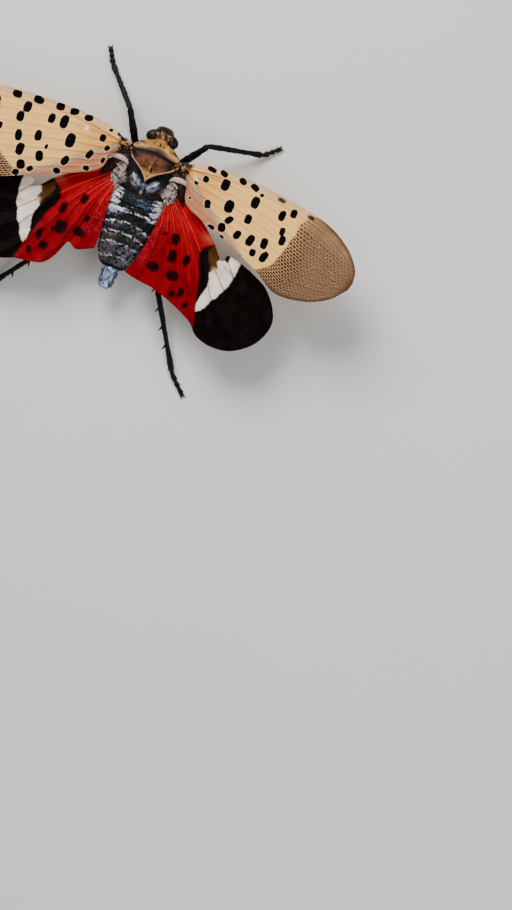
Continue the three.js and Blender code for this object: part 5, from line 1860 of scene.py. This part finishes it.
def hind_spines(hand, knee, ankle):
    """Four spines on the outer side of a hind shin, and a crown of four at its end."""
    way = ankle - knee
    along = unit(way)
    out = unit(np.cross((0, 0, -hand), along))
    over = np.cross(along, out)
    roots = [knee + way * share for share in (0.22, 0.4, 0.57, 0.74)]
    spines = [thorn(root + out * 0.15, root + out * 0.74 + along * 0.44, 0.15) for root in roots]
    crown = knee + way * 0.945
    for turn in (-1.1, -0.3, 0.6, 1.5):
        lean = out * math.cos(turn) + over * math.sin(turn)
        spines.append(thorn(crown + lean * 0.1, crown + lean * 0.5 + along * 0.36, 0.13))
    return spines


def foot_claws(ankle, toe):
    """Two hooks beside a small round pad at the toe."""
    along = unit((toe - ankle) * (1, 1, 0))
    across = np.array([-along[1], along[0], 0])
    hooks = []
    for hand in SIDES.values():
        root = toe - along * 0.1 + across * hand * 0.1
        tip = (toe + along * 0.42 + across * hand * 0.3) * (1, 1, 0) + (0, 0, 0.06)
        hooks.append(thorn(root, tip, 0.11, bow=-0.08))
    pad = lump(toe + along * 0.1 + (0, 0, -0.02), (0.15, 0.13, 0.1), 0, 0.02, 0.3, seed=82, steps=16)
    return merge(*hooks, tube(pad))


print("spines and claws ready")

# %% Legs
def leg_finish():
    f = Finish("black_leg", 0.45, 0.15)
    grain = f.noise(0.14, 4, 0.6)
    black = f.mix((2, 2, 2), (15, 11, 12), f.noise(0.8, 3), 0.4, 0.7)
    return f.done(f.mix(black, (40, 34, 36), grain, 0.55, 0.8), grain, 0.02, grain.spread(0.35, 0.65))


leg_look = leg_finish()
claw_look = dark_finish("brown_claw", (30, 18, 14), (86, 56, 38), 0.15, 0.3)
for number, (name, (hand, *joints)) in enumerate(LEGS.items()):
    hip, knee, ankle, toe = np.multiply(joints, (hand, 1, 1))
    line, share = leg_line(hip, knee, ankle, toe)
    rings, ways = limb_rings(line, share)
    spines = hind_spines(hand, knee, ankle) if name.startswith("hind") else []
    bristles = leg_bristles(rings, line, ways, 90 + number)
    shape = merge(tube(rings), hip_shape(hip, hand), bristles, *spines)
    solids = [f"{name}_{part}" for part in ("femur", "tibia", "tarsus")]
    make_piece(f"{name}_leg", shape, leg_look, "black_cuticle", *solids)
    make_piece(f"{name}_claws", foot_claws(ankle, toe), claw_look, "black_cuticle", f"{name}_tarsus")

# %% [markdown]
# ## Floor, light and camera
# The insect is seen from straight above, its head leaning to the right. The camera stands 400 mm over the
# wings, so that near and far parts keep their true sizes, and its lens makes the picture 99 mm tall there.
# A large soft light from the upper left leaves the gentle shadows of a studio, and a weak one fills in.

# %% Floor
def floor_finish():
    f = Finish("pale_floor", 0.75)
    return f.done(f.mix((226, 222, 216), (232, 229, 224), f.noise(30)))


bpy.ops.mesh.primitive_grid_add(x_subdivisions=2, y_subdivisions=2, size=1.2, location=(0, 0, 0))
floor = bpy.context.object
floor.name = "pale_floor"
floor.data.materials.append(floor_finish())
print("the floor is 1.2 m wide")

# %% Light
world = bpy.data.worlds.new("soft_room")
world.use_nodes = True
world.node_tree.nodes["Background"].inputs["Color"].default_value = paint(236, 238, 242)
world.node_tree.nodes["Background"].inputs["Strength"].default_value = 0.46
bpy.context.scene.world = world


def soft_light(name, place, size, power):
    """A square area light that looks at the insect; place is in millimetres from the wing roots."""
    light = bpy.data.lights.new(name, "AREA")
    light.size = size * MM
    light.energy = power
    lamp = bpy.data.objects.new(name, light)
    bpy.context.scene.collection.objects.link(lamp)
    lamp.location = to_frame(place)
    lamp.rotation_euler = (-lamp.location).to_track_quat("-Z", "Y").to_euler()
    print(f"{name}: {power} W")


soft_light("key_light", (-150, 180, 240), 170, 1.42)
soft_light("fill_light", (210, -90, 220), 200, 0.35)

# %% Camera
VIEW_TURN = math.radians(22)
VIEW_HEIGHT = 99.02
SENSOR = 36

camera = bpy.data.objects.new("camera", bpy.data.cameras.new("camera"))
bpy.context.scene.collection.objects.link(camera)
camera.location = to_frame(np.add(VIEW_CENTRE, (0, 0, VIEW_DISTANCE)))
camera.rotation_euler = (0, 0, VIEW_TURN)
camera.data.sensor_width = SENSOR
camera.data.lens = SENSOR * VIEW_DISTANCE / VIEW_HEIGHT
camera.data.clip_start, camera.data.clip_end = 0.01, 3
bpy.context.scene.camera = camera
print(f"the lens is {camera.data.lens:.0f} mm")
